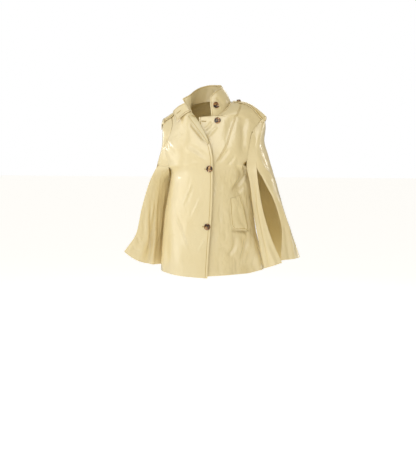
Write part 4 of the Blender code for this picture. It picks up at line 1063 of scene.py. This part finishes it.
# Facing, where the right front's upper edge is rolled out
facingPlan = {
    "free": ((6.2, -0.003, -0.160, -0.188), (7.0, -0.034, -0.150, -0.147), (8.0, -0.075, -0.131, -0.098),
             (9.0, -0.103, -0.114, -0.064)),  # body level and the free edge's x, y, z
    "roll": 0.006, "lift": 0.0003, "columns": 22, "rowCount": 70, "stitchIn": 0.005,
    "buttonhole": ((0.66, 8.70), (0.34, 8.25)),
}


def facingPoints(plan):
    table = np.array(plan["free"])
    levels = np.linspace(table[0, 0], table[-1, 0], plan["rowCount"])
    roll, up = onPanel(rightPanel, 0.0 * levels, levels), onPanel(rightPanel, 0.0 * levels, levels, "normals")
    free = throughRows(table[:, 1:], levels, table[:, 0])
    edgeward = roll - onPanel(rightPanel, 0.0 * levels + 0.05, levels)
    edgeward /= np.linalg.norm(edgeward, axis=1, keepdims=True)
    width = np.linalg.norm(free - roll, axis=1, keepdims=True)
    turn = roll + (up * 1.2 + edgeward * 0.5) * np.minimum(plan["roll"], 0.35 * width)
    roll = roll + up * plan["lift"]
    t = np.linspace(0.0, 1.0, plan["columns"])[None, :, None]
    points = roll[:, None] * (1 - t) ** 2 + turn[:, None] * 2 * t * (1 - t) + free[:, None] * t * t
    flip = 1 if gridNormals(points)[..., 1].mean() < 0 else -1
    return makePanel(points, flip, levels, t[0, :, 0])


facingPanel = facingPoints(facingPlan)
facingGroove = distanceIn(facingPanel, ("last",)) - facingPlan["stitchIn"]
facingPiece = clothPiece("rolled_facing", panelFaces(facingPanel), wall, (facingShadedCloth,), facingGroove)
settle(facingPiece, "facing_right", [facingPanel])

# Pocket flap on the left front: corners as place across the panel, body level and how far they stand off
flapPlan = {
    "bottom": ((0.402, 1.84, 0.0016), (0.690, 1.72, 0.0110)),
    "top": ((0.395, 2.93, 0.0002), (0.610, 3.08, 0.0012)),
    "round": (0.020, 0.010),  # radius of the lower corners, inner and outer
    "size": (0.085, 0.125),  # width and height that the corners are rounded by
    "clear": 0.0004,
    "columns": 36, "rowCount": 46, "stitchIn": 0.007,
    "creases": (
        crease(((0.75, 0.0), (0.62, 0.35), (0.55, 0.7)), -0.002, 0.010, lip=0.5, tails=(0.0, 0.6)),
    ),
}


def flapPoints(plan):
    rows = np.linspace(0.0, 1.0, plan["rowCount"])[:, None, None]
    bottom, top = np.array(plan["bottom"]), np.array(plan["top"])
    ends = bottom[None] * (1 - rows) + top[None] * rows
    t = np.linspace(0.0, 1.0, plan["columns"])[None, :]
    wide, tall = plan["size"]
    up = rows[:, 0] * tall
    inner, outer = (np.where(up < r, r - np.sqrt(np.maximum(r * r - (r - up) ** 2, 0.0)), 0.0) / wide
                    for r in plan["round"])
    share = inner + (1 - inner - outer) * t
    place = ends[:, :1] * (1 - share[..., None]) + ends[:, 1:] * share[..., None]
    spot = onPanel(leftPanel, place[..., 0], place[..., 1])
    out = onPanel(leftPanel, place[..., 0], place[..., 1], "normals")
    points = spot + out * (wall + plan["clear"] + place[..., 2:])
    return dress(makePanel(points, 1, rows[:, 0, 0], t[0]), {"creases": plan["creases"]})


flapPanel = flapPoints(flapPlan)
flapGroove = distanceIn(flapPanel, ("first", "last", "low")) - flapPlan["stitchIn"]
flapPiece = clothPiece("slant_flap", panelFaces(flapPanel), wall, (patent,), flapGroove)
settle(flapPiece, "pocket_flap", [flapPanel])
print("tab, facing and flap made")

# Epaulettes with their loops
epaulettePlan = {
    # start on the shoulder, end in rings, the loop's place along it and the room under the loop
    "runs": {left: (0.05, 0.45, 0.857, 0.0015), right: (0.22, 1.30, 0.70, 0.0006)},
    "half": 0.019, "lift": 0.0024, "wall": 0.0026, "point": 0.18, "taper": 0.111, "crossing": 0.985,
    "columns": 15, "rowCount": 64, "stitchIn": (0.004, 0.009),
    "loopAcross": (-1.42, -1.3, -1.18, -1.0, -0.8, -0.6, -0.3, 0.0, 0.3, 0.6, 0.8, 1.0, 1.18, 1.3, 1.42),
    "loopHalf": 0.005, "loopWall": 0.0016, "loopSeat": 0.0006, "loopRows": 7,
    "loopRise": 0.24,  # share of the half width over which the loop's ends come down
    "passes": 10,  # that even out the step where a strap crosses from the shoulder to the sleeve head
}


def shoulderLine(side, share, reaches):  # points in front of the shoulder seam and behind it
    made = []
    for y in reaches:
        facing = front if y < 0 else back
        line = bodyPoints(side, facing, np.linspace(shoulder, 7.0, 17), [share])[:, 0]
        reach = np.maximum.accumulate(np.abs(line[:, 1]))
        made.append([np.interp(abs(y), reach, line[:, axis]) for axis in range(3)])
    return made


def headLine(side, ring, reaches):  # points of the sleeve head in front of its middle and behind it
    line = outerSleevePoints(side, [ring], np.linspace(0.0, 1.0, 41))[0]
    order = np.argsort(line[:, 1])
    line = line[order] * (side, 1, 1)
    return [[np.interp(y, line[:, 1], line[:, axis]) for axis in range(3)] for y in reaches]


def strapBase(side, shares, halves, across):
    grid = []
    for share, half in zip(shares, halves):
        reaches = half * np.asarray(across)
        if share <= 1.0:
            grid.append(shoulderLine(side, min(share, epaulettePlan["crossing"]), reaches))
        else:
            grid.append(headLine(side, share - 1.0, reaches))
    return np.array(grid)


def upwardPanel(base, lift, rows, across):
    normals = gridNormals(base)
    flip = 1 if normals[..., 2].mean() > 0 else -1
    return makePanel(base + normals * flip * lift, flip, rows, across)


def softened(base):
    for _ in range(epaulettePlan["passes"]):
        base[1:-1] = 0.25 * base[:-2] + 0.5 * base[1:-1] + 0.25 * base[2:]
    return base


strapPanels = {}
for side, word in ((left, "left"), (right, "right")):
    start, end, loop, room = epaulettePlan["runs"][side]
    along = np.linspace(0.0, 1.0, epaulettePlan["rowCount"])
    shares = start + (1.0 + end - start) * along
    point = epaulettePlan["point"]
    halves = epaulettePlan["half"] * np.minimum(1.0, point + (1 - point) * along / epaulettePlan["taper"])
    across = np.linspace(-1.0, 1.0, epaulettePlan["columns"])
    base = softened(strapBase(side, shares, halves, across))
    strap = upwardPanel(base, epaulettePlan["lift"] + epaulettePlan["wall"], along, across)
    strapPanels[side] = strap
    inner, outer = epaulettePlan["stitchIn"]
    depth = distanceIn(strap, ("first", "last", "low"))
    groove = np.abs(depth - 0.5 * (inner + outer)) - 0.5 * (outer - inner)
    strapPiece = clothPiece(word + "_epaulette", panelFaces(strap), epaulettePlan["wall"], (patent,), groove)
    settle(strapPiece, "epaulette_" + word, [strap])
    run = alongLine(base[None, :, epaulettePlan["columns"] // 2])[0]
    middle, half = np.interp(loop, along, run), epaulettePlan["loopHalf"]
    loopAlong = np.interp(np.linspace(middle - half, middle + half, epaulettePlan["loopRows"]), run, along)
    loopAcross = np.array(epaulettePlan["loopAcross"])
    wide = softened(strapBase(side, shares, [epaulettePlan["half"]] * len(shares), loopAcross))
    wide = makePanel(wide, strap["flip"], along, loopAcross)
    grid = np.meshgrid(loopAcross, loopAlong)
    up = onPanel(strap, np.clip(grid[0], -1.0, 1.0), grid[1], "normals")
    high = epaulettePlan["lift"] + epaulettePlan["wall"] + room + epaulettePlan["loopWall"]
    low = epaulettePlan["loopSeat"] + epaulettePlan["loopWall"]
    ends = np.clip((loopAcross[-1] - np.abs(loopAcross)) / epaulettePlan["loopRise"], 0.0, 1.0)
    spots = onPanel(wide, *grid) + up * (low + (high - low) * ends)[None, :, None]
    loopPanel = makePanel(spots, strap["flip"], loopAlong, loopAcross)
    loopPiece = clothPiece(word + "_epaulette_loop", panelFaces(loopPanel), epaulettePlan["loopWall"],
                           (patent,))
    settle(loopPiece, "epaulette_loop_" + word, [loopPanel])
print("epaulettes made")

# Buttons, each where its solid is
buttonPlan = {
    "profile": ((0.0, 0.0), (0.80, 0.0), (0.92, 0.08), (0.99, 0.28), (1.0, 0.45), (0.98, 0.68), (0.92, 0.88),
                (0.84, 0.97), (0.76, 0.93), (0.68, 0.80), (0.60, 0.72), (0.40, 0.67), (0.0, 0.66)),
    "sides": 48, "holeOut": 0.27, "holeRadius": 0.085, "thread": 0.0006,
}


def buttonFrame(node, facing):  # back centre, axis, radius and thickness of a CAD button
    spots = np.unique(np.round([v.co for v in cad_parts[node].data.vertices], 6), axis=0)
    middle = spots.mean(axis=0)
    axis = np.linalg.svd(spots - middle)[2][2]
    axis = axis if axis @ np.array(facing) > 0 else -axis
    up = (spots - middle) @ axis
    aside = np.linalg.norm(spots - middle - up[:, None] * axis, axis=1)
    return middle + axis * up.min(), axis, aside.max(), up.max() - up.min()


def turnedButton(node, facing, name):
    spot, axis, radius, thick = buttonFrame(node, facing)
    shape = bmesh.new()
    verts = [shape.verts.new((x * radius, 0.0, z * thick)) for x, z in buttonPlan["profile"]]
    edges = [shape.edges.new(pair) for pair in zip(verts[:-1], verts[1:])]
    bmesh.ops.spin(shape, geom=verts + edges, axis=(0, 0, 1), cent=(0, 0, 0), angle=2 * math.pi,
                   steps=buttonPlan["sides"], use_duplicate=False)
    bmesh.ops.remove_doubles(shape, verts=shape.verts, dist=0.00002)
    bmesh.ops.recalc_face_normals(shape, faces=shape.faces)
    disc = meshFrom(shape, name)
    cutter = bmesh.new()
    out, hole = buttonPlan["holeOut"] * radius, buttonPlan["holeRadius"] * radius
    for x, y in ((out, out), (-out, out), (out, -out), (-out, -out)):
        bmesh.ops.create_cone(cutter, cap_ends=True, segments=14, radius1=hole, radius2=hole, depth=3 * thick,
                              matrix=Matrix.Translation((x, y, 0.5 * thick)))
    holes = addObject(name + "_holes", meshFrom(cutter, name + "_holes"))
    piece = addObject(name, disc)
    drill = piece.modifiers.new("drill", "BOOLEAN")
    drill.object, drill.operation, drill.solver = holes, "DIFFERENCE", "EXACT"
    made = applied(piece)
    bpy.data.objects.remove(holes)
    tilt = Vector((0, 0, 1)).rotation_difference(Vector(axis)).to_matrix().to_4x4()
    place = Matrix.Translation(Vector(spot)) @ tilt
    made.transform(place)
    made.materials.clear()
    made.materials.append(resin)
    smoothShade(made)
    made.set_sharp_from_angle(angle=math.radians(40))
    made.update()
    bars = bmesh.new()  # two bars of thread through the holes
    wide, tall = buttonPlan["thread"] * 1.4, buttonPlan["thread"] * 1.5
    for x in (-out, out):
        bar = bmesh.ops.create_uvsphere(bars, u_segments=10, v_segments=8, radius=1.0)["verts"]
        bmesh.ops.scale(bars, vec=(wide, out * 1.05, tall), verts=bar)
        bmesh.ops.translate(bars, vec=(x, 0.0, 0.70 * thick), verts=bar)
    sewMesh = meshFrom(bars, name + "_thread")
    sewMesh.transform(place)
    sewMesh.materials.append(thread)
    smoothShade(sewMesh)
    sewn = addObject(name + "_thread", sewMesh)
    settle(piece, node)
    settle(sewn, None)


ahead, upwards = (0, -1, 0), (0, 0, 1)
for node, facing in (("button_collar", ahead), ("button_chest", ahead), ("button_middle", ahead),
                     ("button_low", ahead), ("epaulette_button_left", upwards),
                     ("epaulette_button_right", upwards)):
    turnedButton(node, facing, "resin_" + node)
print("buttons made")

# Sewing: topstitches and buttonholes, as paths for one node tree
stitchPlan = {"spacing": 0.0042, "length": 0.0032, "width": 0.00075, "height": 0.0005, "lift": 0.00012}
satinPlan = {"spacing": 0.0008, "length": 0.0026, "width": 0.00085, "height": 0.0007, "lift": 0.00015}


def stitchTree(name, material):
    tree = bpy.data.node_groups.new(name, "GeometryNodeTree")
    tree.interface.new_socket("Geometry", in_out="INPUT", socket_type="NodeSocketGeometry")
    for label in ("Spacing", "Length", "Width", "Height", "Turn"):
        tree.interface.new_socket(label, in_out="INPUT", socket_type="NodeSocketFloat")
    tree.interface.new_socket("Geometry", in_out="OUTPUT", socket_type="NodeSocketGeometry")
    given = addNode(tree, "NodeGroupInput")
    lines = addNode(tree, "GeometryNodeMeshToCurve", links={"Mesh": given.outputs["Geometry"]})
    even = addNode(tree, "GeometryNodeResampleCurve", {"mode": "LENGTH"},
                   {"Curve": lines.outputs["Curve"], "Length": given.outputs["Spacing"]})
    up = addNode(tree, "GeometryNodeInputNamedAttribute", {"data_type": "FLOAT_VECTOR", "Name": "up"})
    tangent = addNode(tree, "GeometryNodeInputTangent")
    stand = addNode(tree, "FunctionNodeAlignRotationToVector", {"axis": "Z"}, {"Vector": up.outputs[0]})
    lie = addNode(tree, "FunctionNodeAlignRotationToVector", {"axis": "X", "pivot_axis": "Z"},
                  {"Rotation": stand.outputs[0], "Vector": tangent.outputs[0]})
    turn = addNode(tree, "FunctionNodeAxisAngleToRotation", {"Axis": (0.0, 0.0, 1.0)},
                   {"Angle": given.outputs["Turn"]})
    laid = addNode(tree, "FunctionNodeRotateRotation", {"rotation_space": "LOCAL"},
                   {0: lie.outputs[0], 1: turn.outputs[0]})
    size = addNode(tree, "ShaderNodeCombineXYZ",
                   links={"X": given.outputs["Length"], "Y": given.outputs["Width"],
                          "Z": given.outputs["Height"]})
    stitch = addNode(tree, "GeometryNodeMeshUVSphere", {"Segments": 6, "Rings": 4, "Radius": 0.5})
    sewn = addNode(tree, "GeometryNodeInstanceOnPoints",
                   links={"Points": even.outputs["Curve"], "Instance": stitch.outputs["Mesh"],
                          "Rotation": laid.outputs[0], "Scale": size.outputs[0]})
    real = addNode(tree, "GeometryNodeRealizeInstances", links={"Geometry": sewn.outputs[0]})
    soft = addNode(tree, "GeometryNodeSetShadeSmooth", links={"Geometry": real.outputs[0]})
    coloured = addNode(tree, "GeometryNodeSetMaterial", {"Material": material}, {"Geometry": soft.outputs[0]})
    addNode(tree, "NodeGroupOutput", links={"Geometry": coloured.outputs[0]})
    return tree


def sew(name, paths, plan, turn):  # stitches along paths of points and normals, as one plain mesh
    places, edges, ups = [], [], []
    for line, up in paths:
        first = len(places)
        places += (line + up * plan["lift"]).tolist()
        ups += up.tolist()
        edges += [(first + k, first + k + 1) for k in range(len(line) - 1)]
    mesh = bpy.data.meshes.new(name)
    mesh.from_pydata(places, edges, [])
    upwards = mesh.attributes.new("up", "FLOAT_VECTOR", "POINT")
    upwards.data.foreach_set("vector", np.array(ups, np.float32).ravel())
    piece = addObject(name, mesh)
    maker = piece.modifiers.new("stitches", "NODES")
    maker.node_group = sewingTree
    values = {"Spacing": plan["spacing"], "Length": plan["length"], "Width": plan["width"],
              "Height": plan["height"], "Turn": turn}
    for socket in sewingTree.interface.items_tree:
        if socket.in_out == "INPUT" and socket.name in values:
            maker[socket.identifier] = values[socket.name]
    made = applied(piece)
    print(name, len(made.polygons), "faces")
    return piece


sewingTree = stitchTree("topstitching", thread)
seamPaths = [
    edgeLine(rightPanel, "first", rightFront["stitchIn"], (0.012, 0.70)),
    edgeLine(leftPanel, "first", leftFront["stitchIn"], (0.60, 0.80)),
    edgeLine(collarPanel, "high", collarPlan["stitchIn"], (0.015, 0.985)),
    edgeLine(collarPanel, "last", collarPlan["stitchIn"], (0.05, 0.93)),
    edgeLine(collarPanel, "first", collarPlan["stitchIn"], (0.72, 0.93)),
    edgeLine(tabPanel, "low", tabPlan["stitchIn"], (0.06, 0.93)),
    edgeLine(tabPanel, "high", tabPlan["stitchIn"], (0.06, 0.93)),
    edgeLine(tabPanel, "last", tabPlan["stitchIn"], (0.09, 0.91)),
    edgeLine(facingPanel, "last", facingPlan["stitchIn"], (0.20, 0.98)),
    edgeLine(flapPanel, "first", flapPlan["stitchIn"], (0.06, 0.98)),
    edgeLine(flapPanel, "last", flapPlan["stitchIn"], (0.06, 0.98)),
    edgeLine(flapPanel, "low", flapPlan["stitchIn"], (0.10, 0.92)),
    pathLine(leftPanel, leftFront["dartSeam"], leftFront["dartStitch"]),
    pathLine(leftPanel, leftFront["dartSeam"], -leftFront["dartStitch"]),
]
for side in (left, right):
    for inset in epaulettePlan["stitchIn"]:
        seamPaths.append(edgeLine(strapPanels[side], "first", inset, (0.10, 1.0)))
        seamPaths.append(edgeLine(strapPanels[side], "last", inset, (0.10, 1.0)))
settle(sew("topstitching", seamPaths, stitchPlan, 0.0), None)

slitPlan = {
    "half": 0.0014,  # from the slit's middle to the row of thread
    "cut": 0.00055,  # half width of the cut
    "lift": 0.0003,
}
slits = [
    (tabPanel, tabPlan["buttonhole"]),
    (facingPanel, facingPlan["buttonhole"]),
    (leftPanel, ((0.035, 7.50), (0.100, 7.46))),
    (rightPanel, ((0.022, 4.47), (0.112, 4.47))),
    (rightPanel, ((0.020, 1.93), (0.094, 1.93))),
]
threadPaths, cutFaces, cutPlaces = [], [], []
for panel, ends in slits:
    for aside in (-slitPlan["half"], slitPlan["half"]):
        threadPaths.append(pathLine(panel, ends, aside))
    edge, up = pathLine(panel, ends, -slitPlan["cut"])
    other, _ = pathLine(panel, ends, slitPlan["cut"])
    first = len(cutPlaces)
    lift = up * slitPlan["lift"]
    cutPlaces += (edge + lift).tolist() + (other + lift).tolist()
    corners = (0, 1, len(edge) + 1, len(edge))
    cutFaces += [[first + k + corner for corner in corners] for k in range(len(edge) - 1)]
settle(sew("buttonhole_thread", threadPaths, satinPlan, math.pi / 2), None)
# a dark sheet in each cut: painted shade for the buttonholes' insides
cutMesh = bpy.data.meshes.new("buttonhole_slits")
cutMesh.from_pydata(cutPlaces, [], cutFaces)
cutMesh.materials.append(gap)
settle(addObject("buttonhole_slits", cutMesh), None)
print("sewing made")

# Stage: pale floor and soft studio light
stagePlan = {
    "floor": -1.60, "floorSize": 60.0, "floorTone": "#F6F6F4", "floorGlow": 0.62,
    "surround": ((0.50, "#FFFFFF"), (0.31, "#FFEFCC")),  # light from -X and from +X
    "backdrop": 1.0,  # as the camera sees it
    "lights": (  # name, place, aim, width, height, power
        ("frontKey", (-0.46, -3.25, 1.89), (0.0, 0.0, -0.40), 3.6, 3.0, 46.0),
        ("topFill", (1.2, -1.8, 2.8), (0.05, 0.0, -0.05), 2.0, 1.8, 16.0),
        ("leftPanel", (-3.08, -1.12, 0.20), (-0.1, 0.0, -0.45), 2.2, 2.6, 17.0),
        ("leftSoftbox", (-3.14, 0.37, 0.61), (-0.18, -0.1, -0.19), 0.8, 0.34, 8.0),
        ("rightStrip", (2.5, 1.6, 0.3), (0.3, 0.0, -0.40), 0.35, 1.8, 10.0),
        ("backFill", (0.6, 3.4, 1.8), (0.0, 0.0, -0.30), 2.4, 2.0, 26.0),
    ),
}


def makeStage(plan):
    material, tree = newMaterial("paintedFloor")  # matt studio paint, rolled, with a faint unevenness
    rolled = noiseOf(tree, placeOf(tree), {"Scale": 90.0})
    surface(tree, {"Base Color": toLinear(plan["floorTone"]), "Roughness": 0.8,
                   "Emission Color": (1.0, 1.0, 1.0, 1.0), "Emission Strength": plan["floorGlow"]},
            {"Normal": bumpOf(tree, rolled, 0.1, 0.001)})
    half = 0.5 * plan["floorSize"]
    corners = ((-half, -half), (half, -half), (half, half), (-half, half))
    mesh = bpy.data.meshes.new("studioFloor")
    mesh.from_pydata([(x, y, plan["floor"]) for x, y in corners], [], [(0, 1, 2, 3)])
    mesh.materials.append(material)
    floor = addObject("studioFloor", mesh)
    floor.visible_glossy = False  # the glossy film would show the pale floor as a white glare from above
    for name, spot, aim, wide, high, power in plan["lights"]:
        lamp = bpy.data.lights.new(name, "AREA")
        lamp.shape, lamp.size, lamp.size_y, lamp.energy = "RECTANGLE", wide, high, power
        holder = addObject(name, lamp)
        holder.location = spot
        holder.rotation_euler = (Vector(aim) - Vector(spot)).to_track_quat("-Z", "Y").to_euler()
    world = bpy.data.worlds.new("whiteStudio")
    bpy.context.scene.world = world
    world.use_nodes = True
    tree = world.node_tree
    tree.nodes.clear()
    seen = addNode(tree, "ShaderNodeLightPath")
    sides = addNode(tree, "ShaderNodeSeparateXYZ", links={0: placeOf(tree, "Generated")})
    share = addNode(tree, "ShaderNodeMapRange", {"interpolation_type": "SMOOTHSTEP", "From Min": -0.8,
                                                 "From Max": 0.8}, {"Value": sides.outputs["X"]})
    tones = [[strength * c for c in toLinear(tone)[:3]] + [1.0] for strength, tone in plan["surround"]]
    bright = mixOf(tree, share.outputs["Result"], *tones)
    glow = addNode(tree, "ShaderNodeBackground", links={"Color": bright})
    white = addNode(tree, "ShaderNodeBackground",
                    {"Color": (1.0, 1.0, 1.0, 1.0), "Strength": plan["backdrop"]})
    both = addNode(tree, "ShaderNodeMixShader", links={0: seen.outputs["Is Camera Ray"], 1: glow.outputs[0],
                                                       2: white.outputs[0]})
    addNode(tree, "ShaderNodeOutputWorld", links={"Surface": both.outputs[0]})
    bpy.context.scene.view_settings.view_transform = "Standard"


makeStage(stagePlan)
print("stage set")
